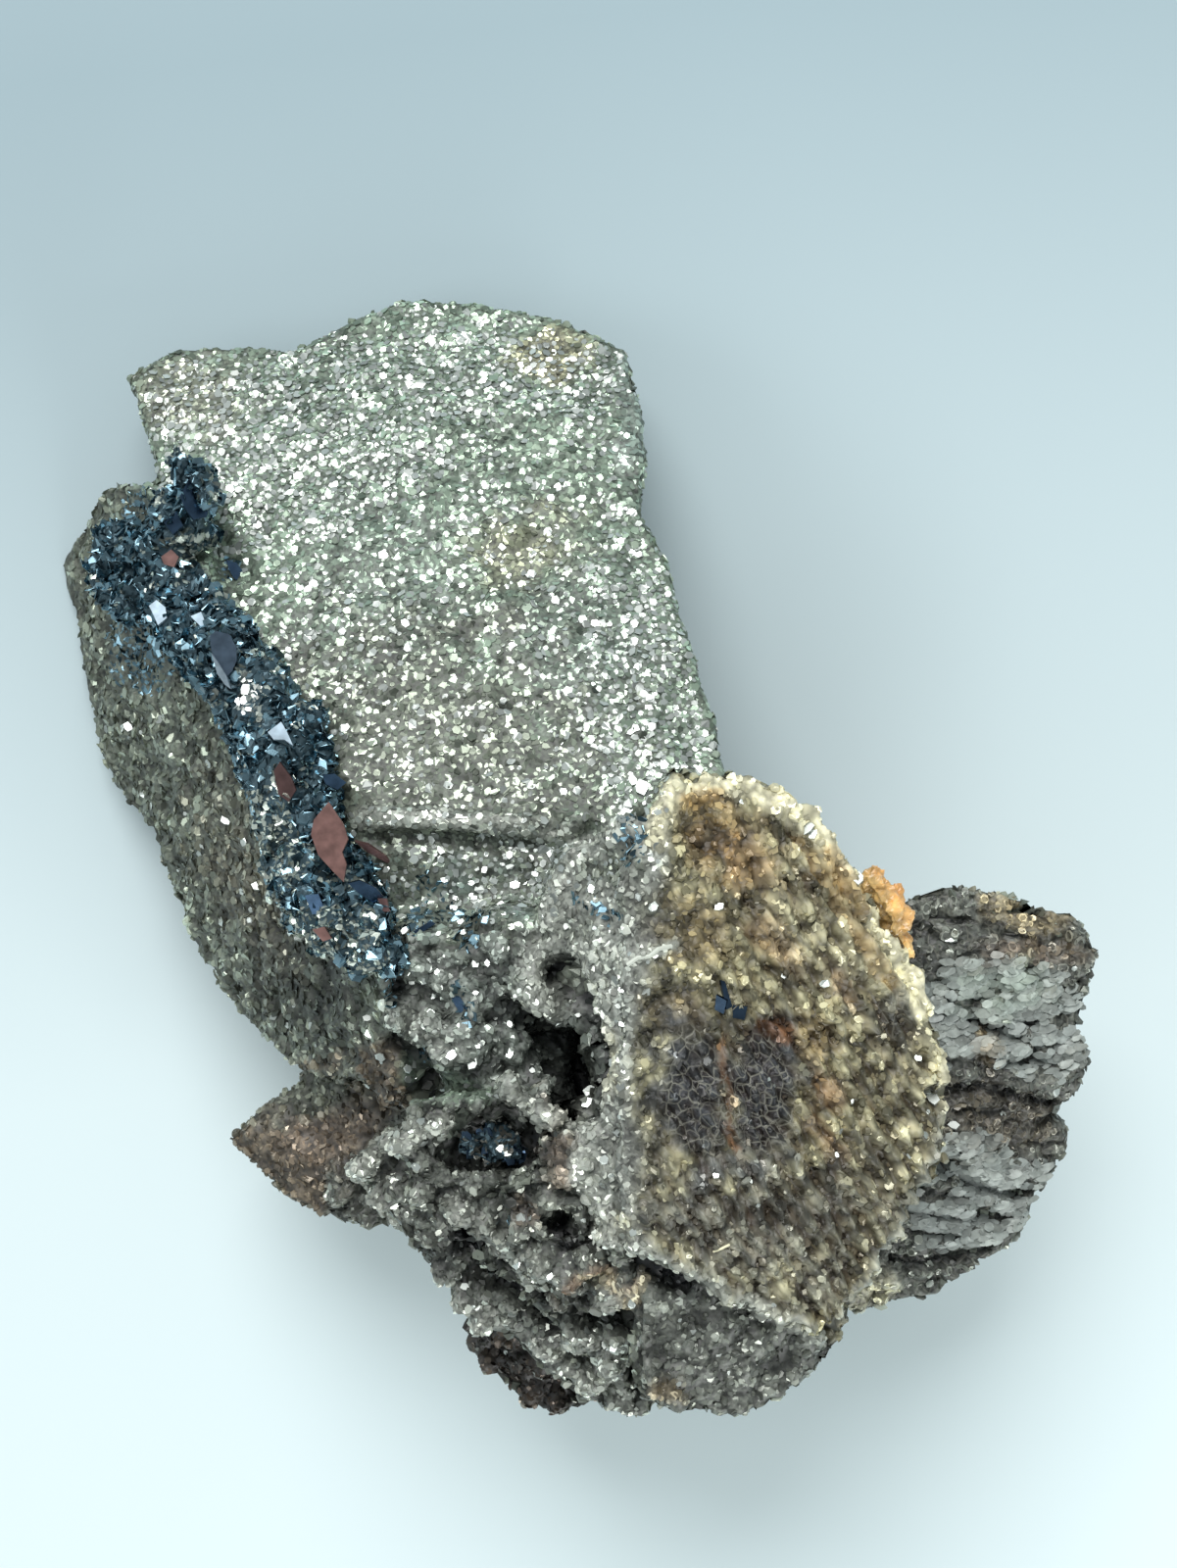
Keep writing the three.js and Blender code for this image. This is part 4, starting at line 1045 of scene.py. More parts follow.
def chosen_shape(maker, shapes):
    """The shapes of the crystals, and the number of the one that each point gets by chance."""
    kinds = maker.node("GeometryNodeGeometryToInstance")
    for number, shape in enumerate(shapes):
        maker.tree.links.new(crystal_shape(maker, number, *shape), kinds.inputs[0])
    pick = maker.node("FunctionNodeRandomValue", {4: 0, 5: len(shapes) - 1, 8: 7}, data_type="INT")
    return kinds, pick.outputs[2]


def scatter_tree(name, shapes):
    """Crystals of a few shapes spread over a skin, each turned, tilted and sized by chance."""
    maker = TreeMaker(name)
    for label, kind, default in SCATTER_INPUTS:
        maker.socket(label, kind, default)
    maker.start()
    spread = spread_points(maker)
    placed = chosen_turn(maker, spread)
    scale = chosen_scale(maker)
    kinds, pick = chosen_shape(maker, shapes)
    grown = maker.node(
        "GeometryNodeInstanceOnPoints",
        {
            "Points": spread.outputs["Points"], "Instance": kinds, "Pick Instance": True,
            "Instance Index": pick, "Rotation": placed, "Scale": scale,
        },
    )
    sunk = maker.vector(0.0, 0.0, maker.math("MULTIPLY", maker.given["Sunk"], -1.0))
    grown = maker.node(
        "GeometryNodeTranslateInstances", {"Instances": grown, "Translation": sunk, "Local Space": True}
    )
    toned = maker.stored(grown, "tone", maker.chance(0.0, 1.0, 8), "INSTANCE")
    real = maker.node("GeometryNodeRealizeInstances", {"Geometry": toned})
    shaded = maker.node("GeometryNodeSetShadeSmooth", {"Geometry": real, "Shade Smooth": False})
    painted = maker.node("GeometryNodeSetMaterial", {"Geometry": shaded, "Material": maker.given["Material"]})
    maker.finish(painted)
    return maker


def grow_on(skin, name, maker, **inputs):
    """A piece of crystals grown on a skin by a scatter tree."""
    piece = linked(name, skin.data.copy())
    coat = piece.modifiers.new("Crystals", "NODES")
    coat.node_group = maker.tree
    for key, value in inputs.items():
        coat[maker.sockets[key.replace("_", " ")]] = value
    return baked(piece)


# Shapes of crystals: sides, depth of the point, and the steps above it, each a rise and a narrowing
FLAKE_SHAPES = [
    (6, 0.8, []),
    (5, 0.8, []),
    (7, 0.7, []),
    (6, 0.9, []),
    (5, 0.7, []),
    (6, 0.7, [(0.2, 0.85)]),
]
BEAD_SHAPES = [
    (6, 0.7, [(0.4, 0.92), (0.26, 0.6)]),
    (5, 0.7, [(0.45, 0.9), (0.3, 0.5)]),
    (6, 0.7, [(0.5, 0.85), (0.2, 0.55)]),
    (5, 0.7, [(0.3, 0.95), (0.34, 0.6)]),
]
RING_SHAPES = [
    (7, 0.7, [(0.4, 0.95), (0.02, 0.78), (-0.16, 0.8)]),
    (6, 0.7, [(0.35, 0.95), (0.02, 0.8), (-0.14, 0.8)]),
]
SCALE_SHAPES = [
    (9, 0.2, [(0.07, 0.94)]),
    (8, 0.2, [(0.09, 0.9)]),
    (7, 0.2, [(0.08, 0.9)]),
]
BLADE_SHAPES = [
    (6, 0.1, [(0.08, 0.97)]),
    (4, 0.1, [(0.08, 0.97)]),
    (5, 0.1, [(0.07, 0.97)]),
]

# The pieces of flakes: name, tilt, and their spacing and radius as shares of the named sizes
FLAKE_PIECES = [
    ("back", 0.25, 1.0, 1.05),
    ("left", 0.55, 1.2, 1.2),
    ("front", 0.65, 1.0, 0.95),
    ("under", 0.5, 1.7, 1.5),
]


class SPECIMEN_OT_flakes(bpy.types.Operator):
    """Grow the silvery mica flakes that coat the plates"""

    bl_idname = "specimen.flakes"
    bl_label = "Mica flakes"

    def execute(self, context):
        sizes = context.scene.specimen_sizes
        maker = scatter_tree("mica flakes", FLAKE_SHAPES)
        mica = mica_material("mica flakes")
        for number, (part, tilt, wider, size) in enumerate(FLAKE_PIECES):
            piece = grow_on(
                bpy.data.objects["rock"], "flakes_" + part, maker, Share="flakes_" + part,
                Spacing=sizes.flake_spacing * wider, Radius=sizes.flake_size * size, Smallest=0.5,
                Slimness=0.3, Tilt=tilt, Seed=sizes.seed + number, Material=mica,
            )
            finish_piece(piece, "druse", "drusy_plates")
        glints = grow_on(
            bpy.data.objects["rock"], "glints", maker, Share="glints", Spacing=sizes.glint_spacing,
            Radius=sizes.glint_size, Smallest=0.45, Slimness=0.3, Tilt=0.3, Sunk=-0.15,
            Seed=sizes.seed + 10, Material=bright_mica(),
        )
        finish_piece(glints, "druse", "drusy_plates")
        return {"FINISHED"}


class SPECIMEN_OT_beads(bpy.types.Operator):
    """Grow the beads: domes on the front disc, in rows, and on the knobs, and rings on the right plates"""

    bl_idname = "specimen.beads"
    bl_label = "Beads"

    def execute(self, context):
        sizes = context.scene.specimen_sizes
        domes = scatter_tree("rounded beads", BEAD_SHAPES)
        rings = scatter_tree("ringed beads", RING_SHAPES)
        mica = mica_material("bead mica", (0.16, 0.5), (0.35, 1.6), ringed=True)
        for number, (part, maker, wider, size) in enumerate(
            [("disc", domes, 1.0, 1.0), ("right", rings, 1.2, 1.0), ("rest", domes, 1.5, 1.1)]
        ):
            piece = grow_on(
                bpy.data.objects["rock"], "beads_" + part, maker, Share="beads_" + part,
                Spacing=sizes.bead_spacing * wider, Radius=sizes.bead_size * size, Smallest=0.4, Slimness=0.4,
                Tilt=0.7, Spin=0.8, Sunk=0.1, Row_Direction=(0.57, -0.82, 0.1),
                Seed=sizes.seed + 20 + number, Material=mica,
            )
            finish_piece(piece, "druse", "drusy_plates")
        return {"FINISHED"}


class SPECIMEN_OT_scales(bpy.types.Operator):
    """Lay the smooth blue-grey scales of the right plates, each over the next"""

    bl_idname = "specimen.scales"
    bl_label = "Right plate scales"

    def execute(self, context):
        sizes, colours = context.scene.specimen_sizes, context.scene.specimen_colours
        material, tree, shader = new_material("scales", metallic=0.15, roughness=0.5)
        tone = attribute_node(tree, "tone").outputs["Fac"]
        shade = mixed(tree, "MULTIPLY", 1.0, (*colours.slate, 1), ranged(tree, tone, 0.4, 1.25))
        coat = attribute_node(tree, "coat").outputs["Color"]
        shade = mixed(tree, "MIX", 0.5, shade, coat)
        shade = mixed(tree, "MULTIPLY", 1.0, shade, mottle(tree, 1800, 0.75, 1.2))
        tree.links.new(shade, shader.inputs["Base Color"])
        piece = grow_on(
            bpy.data.objects["rock"], "right_plate_scales", scatter_tree("scales", SCALE_SHAPES),
            Share="scales", Spacing=sizes.scale_spacing, Radius=sizes.scale_size, Smallest=0.6,
            Slimness=-1.2, Tilt=0.12, Lean=0.24, Spin=0.3, Sunk=-0.2, Row_Direction=(0.2, -1.0, 0.0),
            Seed=sizes.seed + 30, Material=material,
        )
        finish_piece(piece, "druse", "drusy_plates")
        return {"FINISHED"}


# The hematite


def surface_of(*things):
    """A tree of faces, in millimetres, that a line of sight can be followed down to."""
    corners, faces = [], []
    for thing in things:
        first = len(corners)
        corners += [v.co / MM for v in thing.data.vertices]
        faces += [[first + i for i in f.vertices] for f in thing.data.polygons]
    return BVHTree.FromPolygons(corners, faces)


def under_sight(surface, right, up):
    """Where the line of sight through a place meets a surface."""
    along = Vector((right, up, TRACE_HEIGHT - EYE.z)).normalized()
    spot = surface.ray_cast(EYE, along)[0]
    if spot is None:  # just past an edge
        spot = surface.find_nearest(EYE + along * (EYE.z - TRACE_HEIGHT))[0]
    return spot


# Hematite faces that stand out: finish, lean of its face in degrees to the right and up, rise over the crust,
# and corners as they look from above. The pale finish is painted light and the darker red-brown finish
# painted shade.
LARGE_BLADES = [
    ("mirror", (-6, 4), 0.9, [
        (-17.5, -1.2), (-16.5, -2.7), (-16.2, -3.7), (-16.6, -4.6), (-16.3, -5.4), (-16.5, -6.6),
        (-17.2, -5.9), (-18.2, -4.8), (-18.7, -3.4), (-18.5, -2.4)]),
    ("umber", (-8, 0), 0.5, [
        (-21.2, 0.9), (-20.8, 1.5), (-20.0, 0.4), (-19.7, -0.4), (-20.2, -1.2), (-20.9, -0.7)]),
    ("mirror", (-4, 6), 0.6, [(-28.8, 15.3), (-28.1, 15.8), (-27.6, 15.3), (-27.9, 14.6), (-28.6, 14.8)]),
    ("umber", (10, -30), 0.7, [
        (-15.7, -3.9), (-14.8, -4.1), (-13.6, -4.9), (-13.0, -5.6), (-13.8, -5.2), (-14.9, -4.6)]),
    ("mirror", (-14, 2), 0.5, [(-18.6, -9.8), (-17.8, -9.6), (-17.3, -10.4), (-17.9, -10.6)]),
    ("umber", (-10, 4), 0.6, [(-14.2, -7.7), (-13.6, -7.7), (-13.4, -8.6), (-13.9, -8.6)]),
    ("steel", (-12, 10), 1.0, [
        (-25.1, 10.3), (-24.2, 10.1), (-23.7, 9.2), (-23.7, 8.3), (-24.0, 7.6), (-24.4, 7.2),
        (-24.9, 7.8), (-25.4, 9.0), (-25.5, 10.0)]),
    ("pale", (-16, 4), 1.2, [
        (-25.4, 8.8), (-24.9, 8.1), (-24.4, 7.3), (-24.1, 6.4), (-24.5, 6.7), (-25.0, 7.4)]),
    ("pale", (4, 14), 1.1, [
        (-21.6, 3.5), (-20.7, 4.2), (-20.3, 3.5), (-19.9, 2.6), (-20.5, 3.0), (-21.2, 3.0)]),
    ("pale", (-3, 14), 0.7, [
        (-29.6, 12.0), (-29.1, 12.4), (-28.5, 11.9), (-28.4, 11.2), (-29.0, 10.7), (-29.3, 11.4)]),
    ("pale", (3, 12), 0.7, [(-26.8, 11.3), (-26.1, 11.6), (-25.8, 10.9), (-26.0, 10.5)]),
    ("blue", (18, 4), 0.9, [
        (-27.5, 19.4), (-26.9, 20.6), (-26.1, 20.0), (-25.5, 18.9), (-25.7, 18.0), (-26.6, 17.8),
        (-27.2, 18.6)]),
    ("blue", (-20, 10), 0.6, [(-28.6, 17.6), (-27.8, 18.4), (-27.3, 17.4), (-28.0, 16.8)]),
    ("blue", (12, 8), 0.3, [
        (-24.4, 15.1), (-23.7, 14.9), (-23.1, 14.1), (-23.2, 13.3), (-23.9, 13.9), (-24.2, 14.4)]),
    ("blue", (14, -12), 0.6, [(-17.9, 0.6), (-17.1, 0.7), (-16.3, 0.1), (-16.9, -0.4), (-17.7, 0.0)]),
    ("blue", (8, -14), 0.7, [
        (-16.2, -6.7), (-15.4, -6.5), (-14.3, -7.0), (-13.8, -7.6), (-14.5, -8.0), (-15.4, -7.4)]),
    ("blue", (-20, -10), 0.6, [(-19.1, -7.5), (-18.2, -7.4), (-17.7, -8.6), (-18.6, -8.8)]),
    ("blue", (6, 8), 0.2, [(-11.8, -9.9), (-10.6, -9.2), (-10.3, -9.4), (-11.5, -10.2)]),
    ("blue", (-16, 14), 0.2, [(-9.4, -14.0), (-8.9, -14.0), (-8.0, -15.3), (-8.5, -15.6), (-9.0, -14.9)]),
    ("dark", (20, 6), 0.5, [(8.9, -13.2), (9.2, -13.3), (9.7, -15.0), (9.3, -15.2)]),
    ("dark", (-24, -10), 0.4, [(8.6, -14.2), (9.3, -14.6), (9.1, -15.5), (8.5, -15.2)]),
    ("dark", (-16, -6), 0.4, [(9.4, -14.8), (10.7, -15.0), (10.5, -15.9), (9.5, -15.7)]),
]

# Bright crystal faces that stand out: where each shows and its radius
BRIGHT_FACES = [
    (3.6, -0.3, 0.6), (3.0, 0.2, 0.4), (-11.1, -4.4, 0.24), (-9.7, -6.5, 0.27), (-9.1, -8.4, 0.32),
    (-8.6, -9.3, 0.26), (-8.4, -10.0, 0.26), (-12.4, -9.9, 0.3), (-7.0, -5.8, 0.3), (-5.3, -4.8, 0.32),
    (-4.4, -4.4, 0.28), (-2.5, -4.8, 0.36), (-3.6, -6.1, 0.28), (-7.9, -6.7, 0.26), (-7.7, -7.7, 0.26),
    (-5.9, -8.1, 0.26), (-10.1, -10.1, 0.22), (-10.2, -12.7, 0.24), (-7.6, -12.1, 0.36), (-6.8, -12.1, 0.26),
    (-10, -13.7, 0.28), (-10.6, -15.4, 0.28), (-11.9, -13.4, 0.24), (-7.6, -14.1, 0.22), (-4.9, -14.3, 0.22),
    (-9.2, -18.3, 0.44), (-7.8, -18.9, 0.44), (-5.3, -18.2, 0.36), (-3.9, -17.4, 0.3), (-5.3, -16.2, 0.26),
    (-3.8, -19.3, 0.26), (-14.7, -16.9, 0.42), (-14.9, -15.8, 0.32), (-11.6, -19.7, 0.3), (0.1, -20.7, 0.5),
    (-0.1, -21.5, 0.42), (-1.5, -9.6, 0.28), (0.2, -7.1, 0.34), (1.5, -14.0, 0.22), (2.2, -13.9, 0.24),
    (2.0, -15.0, 0.24), (2.3, -16.2, 0.28), (-0.7, -15.6, 0.22), (8.8, -8.3, 0.34), (14.7, -3.0, 0.56),
    (15.1, -3.4, 0.4), (18.2, -6.4, 0.46), (22.2, -18.4, 0.38), (23.2, -21.2, 0.52), (22.7, -20.6, 0.42),
    (24.6, -23.0, 0.42), (24.4, -10.4, 0.5), (22.2, -27.6, 0.52), (23.0, -33.7, 0.34), (13.2, -12.9, 0.28),
    (8.6, -26.3, 0.32), (10.9, -26.8, 0.22), (16.7, -25.0, 0.22), (-10.3, -23.0, 0.26), (-12.0, -23.4, 0.22),
    (-8.3, -33.9, 0.36), (-8.8, -33.2, 0.32), (-7.5, -35.3, 0.26), (-2.6, -33.2, 0.28), (1.7, -38.0, 0.36),
    (1.1, -37.8, 0.32), (-8.6, -31.0, 0.22), (-31.0, 3.8, 0.42), (-24.4, -2.5, 0.46), (-22.3, -6.9, 0.42),
    (-21.8, -2.0, 0.32), (-20.9, -2.6, 0.38), (-19.4, -10.2, 0.5), (-19.8, -9.2, 0.32), (-23.1, 6.3, 0.45),
    (-23.2, 5.6, 0.36), (-22.5, 6.0, 0.32), (-23.3, 7.0, 0.3), (-22.9, 5.0, 0.25), (-5.8, -24.6, 0.42),
    (-5.4, -24.9, 0.3),
]

# Thin slivers that lie on the front: colour, half width, and places along it
SLIVERS = [
    ("ash", 0.14, [(2.6, -12.2), (3.3, -11.7), (4.1, -11.6), (4.7, -11.1), (5.6, -10.9)]),
    ("cream", 0.08, [(8.4, -31.5), (8.9, -31.3), (9.5, -31.0)]),
]


def lean_matrix(right_deg, up_deg):
    """Turns a face that looks straight up so that it leans to the right and upwards."""
    return Euler((-math.radians(up_deg), math.radians(right_deg), 0)).to_matrix()


def slab(tops, normal, thickness):
    """The points and faces of a thin slab under a flat outline."""
    count = len(tops)
    first = tops[0]
    turns = [(tops[i] - first).cross(tops[(i + 1) % count] - first).dot(normal) for i in range(count)]
    if sum(turns) < 0:
        tops = tops[::-1]
    faces = [list(range(count)), list(range(2 * count - 1, count - 1, -1))]
    faces += [[count + i, count + (i + 1) % count, (i + 1) % count, i] for i in range(count)]
    return tops + [p - normal * thickness for p in tops], faces


def large_blade(surface, lean, rise, corners):
    """A flat blade whose outline from above has the given corners."""
    middle = (sum(p[0] for p in corners) / len(corners), sum(p[1] for p in corners) / len(corners))
    spot = under_sight(surface, *middle) + Vector((0, 0, rise))
    normal = lean_matrix(*lean) @ Vector((0, 0, 1))
    tops = []
    for right, up in corners:
        along = Vector((right, up, TRACE_HEIGHT - EYE.z))
        tops.append(EYE + along * ((spot - EYE).dot(normal) / along.dot(normal)))
    return slab(tops, normal, BLADE_THICKNESS)


def bright_face(surface, right, up, radius, turn):
    """A small crystal whose face throws the window light to the eye."""
    spot = under_sight(surface, right, up)
    normal = (KEY_FROM + (EYE - spot).normalized()).normalized()
    side = normal.orthogonal().normalized()
    across = normal.cross(side)
    middle = spot + normal * radius * 0.45
    tops = []
    for k in range(6):
        angle = turn + k * math.pi / 3
        reach = radius * (0.85 + 0.2 * math.sin(5.3 * turn + 2 * k))
        tops.append(middle + side * reach * math.cos(angle) + across * reach * math.sin(angle))
    return slab(tops, normal, radius * 0.7)


def sliver(surface, half, places):
    """A thin four-sided rod that lies along some places."""
    spots = [under_sight(surface, *place) + Vector((0, 0, half)) for place in places]
    points, faces = [], []
    for number, spot in enumerate(spots):
        ahead = (spots[min(number + 1, len(spots) - 1)] - spots[max(number - 1, 0)]).normalized()
        side = ahead.cross(Vector((0, 0, 1))).normalized() * half
        rise = side.cross(ahead).normalized() * half
        points += [spot + side, spot + rise, spot - side, spot - rise]
    for ring in range(len(spots) - 1):
        for k in range(4):
            a, b = 4 * ring + k, 4 * ring + (k + 1) % 4
            faces.append([a, a + 4, b + 4, b])
    last = 4 * len(spots) - 4
    faces += [[0, 1, 2, 3], [last + 3, last + 2, last + 1, last]]
    return points, faces


def joined(name, bodies, materials):
    """One object from many small bodies, each given as points, faces, a material's number and a tone."""
    corners, faces, picks, tones = [], [], [], []
    for points, sides, pick, tone in bodies:
        first = len(corners)
        corners += [p * MM for p in points]
        faces += [[first + i for i in side] for side in sides]
        picks += [pick] * len(sides)
        tones += [tone] * len(points)
    mesh = bpy.data.meshes.new(name)
    mesh.from_pydata(corners, [], faces)
    skin = bmesh.new()
    skin.from_mesh(mesh)
    bmesh.ops.recalc_face_normals(skin, faces=skin.faces)
    skin.to_mesh(mesh)
    skin.free()
    for material in materials:
        mesh.materials.append(material)
    mesh.polygons.foreach_set("material_index", picks)
    keep_number(mesh, "tone", np.array(tones))
    return linked(name, mesh)


def keep_bed(mesh, blades, grains, sheen, coat):
    """Keeps on a bed how densely its blades and its mica grow, and how the mica looks."""
    keep_number(mesh, "blades", blades)
    keep_number(mesh, "grains", grains)
    keep_number(mesh, "sheen", np.full(len(blades), sheen))
    keep_colour(mesh, "coat", coat)


class SPECIMEN_OT_crust(bpy.types.Operator):
    """Grow the hematite crust on the crest: a bed, many small blades, and silvery mica between them"""

    bl_idname = "specimen.crust"
    bl_label = "Hematite crust"

    def execute(self, context):
        sizes, colours = context.scene.specimen_sizes, context.scene.specimen_colours
        bed = even_skin("hematite_crust", "crust_bed", sizes.crust_grain)
        mesh = bed.data
        spots, normals = vertex_arrays(mesh)
        right, up = seen_from_above(spots)
        knob, _ = knobs(spots, 2.2, 31)
        lift = 0.9 * (knob - MEAN_KNOB) + 0.5 * wander(spots, 1.8, 31, 3)
        place_vertices(mesh, spots + normals * lift[:, None])
        rough = 0.5 * wander(spots, 1.6, 33, 3)
        druse = 0.85 * ease(0.08, 0.3, rough)
        for middle, half, turn, strength in CRUST_MICA_PATCHES:
            share = ease(0.4, 0.6, blot(right, up, middle, half, turn) + rough)
            druse = np.maximum(druse, share * strength)
        coat = np.tile(np.array(colours.grey), (len(spots), 1))
        lit = ease(0.4, 0.6, blot(right, up, (-23.0, 6.0), (1.2, 1.5), 0))
        keep_bed(mesh, 1 - 0.9 * druse, 0.06 + 0.94 * druse, 0.7, toward(coat, colours.bright, lit))
        blue = blade_material("hematite", colours.hematite)
        darker = [c * 0.35 for c in colours.hematite]
        mesh.materials.append(new_material("hematite bed", 0.8, 0.45, darker)[0])
        maker = scatter_tree("blades", BLADE_SHAPES)
        blades = grow_on(
            bed, "crust_blades", maker, Share="blades", Spacing=sizes.blade_spacing, Radius=sizes.blade_size,
            Smallest=0.4, Slimness=0.5, Tilt=0.7, Lean=0.8, Seed=sizes.seed + 40, Material=blue,
        )
        grains = grow_on(
            bed, "crust_druse", scatter_tree("crust druse", FLAKE_SHAPES), Share="grains",
            Spacing=sizes.flake_spacing * 0.9, Radius=sizes.flake_size, Smallest=0.5, Slimness=0.2,
            Tilt=0.8, Seed=sizes.seed + 41, Material=bpy.data.materials["mica flakes"],
        )
        strays = grow_on(
            bpy.data.objects["rock"], "stray_blades", maker, Share="blades",
            Spacing=sizes.blade_spacing, Radius=sizes.blade_size * 0.75, Smallest=0.4, Slimness=0.5,
            Tilt=0.6, Lean=0.4, Sunk=0.1, Seed=sizes.seed + 42, Material=blue,
        )
        for piece in (bed, blades):
            finish_piece(piece, "hematite", "hematite_crust")
        finish_piece(grains, "druse", "hematite_crust")
        finish_piece(strays, "hematite", "drusy_plates")
        return {"FINISHED"}


class SPECIMEN_OT_standouts(bpy.types.Operator):
    """Place the crystals that stand out: large hematite faces, bright mica faces and thin slivers"""

    bl_idname = "specimen.standouts"
    bl_label = "Crystals that stand out"

    def execute(self, context):
        colours = context.scene.specimen_colours
        surface = surface_of(*[bpy.data.objects[name] for name in ("crust_bed", "rock", "nest_bed")])
        finishes = {
            "mirror": blade_material("mirror brown", colours.mirror, 0.3, metallic=0.5),
            # painted shade and painted light: darker and paler copies of the hematite, for faces in the shade
            # and faces the window lights
            "umber": blade_material("umber", colours.umber, 0.3, metallic=0.5),
            "pale": blade_material("pale blue", colours.pale_blue, 0.4, metallic=0.4),
            "steel": blade_material("steel blue", colours.steel_blue, 0.3),
            "blue": blade_material("deep blue", colours.deep_blue, 0.25),
            "dark": bpy.data.materials["dark hematite"],
        }
        bodies = []
        for number, (finish, lean, rise, outline) in enumerate(LARGE_BLADES):
            tone = 0.45 + 0.2 * math.sin(number * 5.1)
            bodies.append((*large_blade(surface, lean, rise, outline), list(finishes).index(finish), tone))
        finish_piece(joined("large_blades", bodies, finishes.values()), "hematite", "hematite_crust")

        bodies = [
            (*bright_face(surface, right, up, radius, number * 1.7), 0, 0.5 + 0.4 * math.sin(number * 3.1))
            for number, (right, up, radius) in enumerate(BRIGHT_FACES)
        ]
        faces = joined("bright_faces", bodies, [bpy.data.materials["bright mica"]])
        finish_piece(faces, "druse", "drusy_plates")

        bodies, pale = [], []
        for number, (colour, half, places) in enumerate(SLIVERS):
            bodies.append((*sliver(surface, half, places), number, 0.5))
            pale.append(new_material("sliver " + colour, 0, 0.6, getattr(colours, colour))[0])
        finish_piece(joined("slivers", bodies, pale), "druse", "drusy_plates")
        return {"FINISHED"}


class SPECIMEN_OT_nest(bpy.types.Operator):
    """Grow the nest of hematite blades in the hollow above the steps"""

    bl_idname = "specimen.nest"
    bl_label = "Nest in the hollow"

    def execute(self, context):
        sizes, colours = context.scene.specimen_sizes, context.scene.specimen_colours
        bed = even_skin("hollow_hematite", "nest_bed", sizes.fine_grain)
        mesh = bed.data
        spots, normals = vertex_arrays(mesh)
        place_vertices(mesh, spots + normals * (0.9 * wander(spots, 1.5, 72, 3) - 0.2)[:, None])
        druse = ease(-0.25, 0.15, wander(spots, 1.4, 71))
        # painted shade in part: the hollow's mica takes the darker smoke grey
        keep_bed(mesh, 1 - 0.8 * druse, druse, 0.4, np.tile(np.array(colours.smoke), (len(spots), 1)))
        mesh.materials.append(bpy.data.materials["hematite bed"])
        blades = grow_on(
            bed, "nest_blades", scatter_tree("nest blades", BLADE_SHAPES), Share="blades",
            Spacing=sizes.nest_spacing, Radius=sizes.blade_size * 0.75, Smallest=0.4, Slimness=0.5, Tilt=0.6,
            Lean=0.9, Seed=sizes.seed + 50, Material=blade_material("dark hematite", colours.hollow_blue),
        )
        grains = grow_on(
            bed, "nest_druse", scatter_tree("nest druse", FLAKE_SHAPES), Share="grains",
            Spacing=sizes.flake_spacing, Radius=sizes.flake_size, Smallest=0.5, Slimness=0.2, Tilt=0.8,
            Seed=sizes.seed + 51, Material=bpy.data.materials["mica flakes"],
        )
        for piece in (bed, blades):
            finish_piece(piece, "hematite", "hollow_hematite")
        finish_piece(grains, "druse", "hollow_hematite")
        return {"FINISHED"}


class SPECIMEN_OT_stained_crystal(bpy.types.Operator):
    """Make the orange-brown, iron-stained crystal on the disc's rim"""

    bl_idname = "specimen.stained_crystal"
    bl_label = "Stained crystal"

    def execute(self, context):
        sizes, colours = context.scene.specimen_sizes, context.scene.specimen_colours
        crystal = even_skin("stained_crystal", "amber_crystal", sizes.fine_grain)
        mesh = crystal.data
        spots, normals = vertex_arrays(mesh)
        right, up = seen_from_above(spots)
        knob, gap = knobs(spots, 1.5, 61)
        lift = 0.05 + 0.3 * (knob - MEAN_KNOB) + 0.45 * wander(spots, 0.7, 61, 3)
        place_vertices(mesh, spots + normals * lift[:, None])
        # painted shade: depth is darker in the gaps between knobs and lighter on the knobs
        keep_number(mesh, "depth", (0.4 + 0.6 * ease(0.0, 0.25, gap)) * (0.6 + 0.4 * knob))
        off_corner = 0.86 * right + 0.5 * up - 13.7
        keep_number(mesh, "yellow", ease(1.2, -1.0, off_corner + 0.8 * wander(spots, 1.2, 62)))
        material, tree, shader = new_material("amber", roughness=0.3)
        depth = attribute_node(tree, "depth").outputs["Fac"]
        yellow = attribute_node(tree, "yellow").outputs["Fac"]
        stain = mixed(tree, "MIX", yellow, (*colours.amber, 1), (*[c * 1.35 for c in colours.ochre], 1))
        colour = mixed(tree, "MULTIPLY", 1.0, stain, mottle(tree, 1300, 0.6, 1.25, 5))
        # painted shade from depth, darker between the knobs
        colour = mixed(tree, "MULTIPLY", 1.0, colour, ranged(tree, depth, 0.5, 1.2))
        tree.links.new(colour, shader.inputs["Base Color"])
        shader.inputs["Coat Weight"].default_value = 0.3
        mesh.materials.append(material)
        finish_piece(crystal, "iron_stained", "stained_crystal")
        return {"FINISHED"}


# The stage


def aimed_light(name, place, target, width, height, power, colour):
    """A soft panel of light at a place, turned towards a target."""
    lamp = bpy.data.lights.new(name, "AREA")
    lamp.shape = "RECTANGLE"
    lamp.size, lamp.size_y = width, height
    lamp.energy = power
    lamp.color = colour
    thing = linked(name, lamp)
    thing.location = place
    thing.rotation_euler = (Vector(target) - Vector(place)).to_track_quat("-Z", "Y").to_euler()


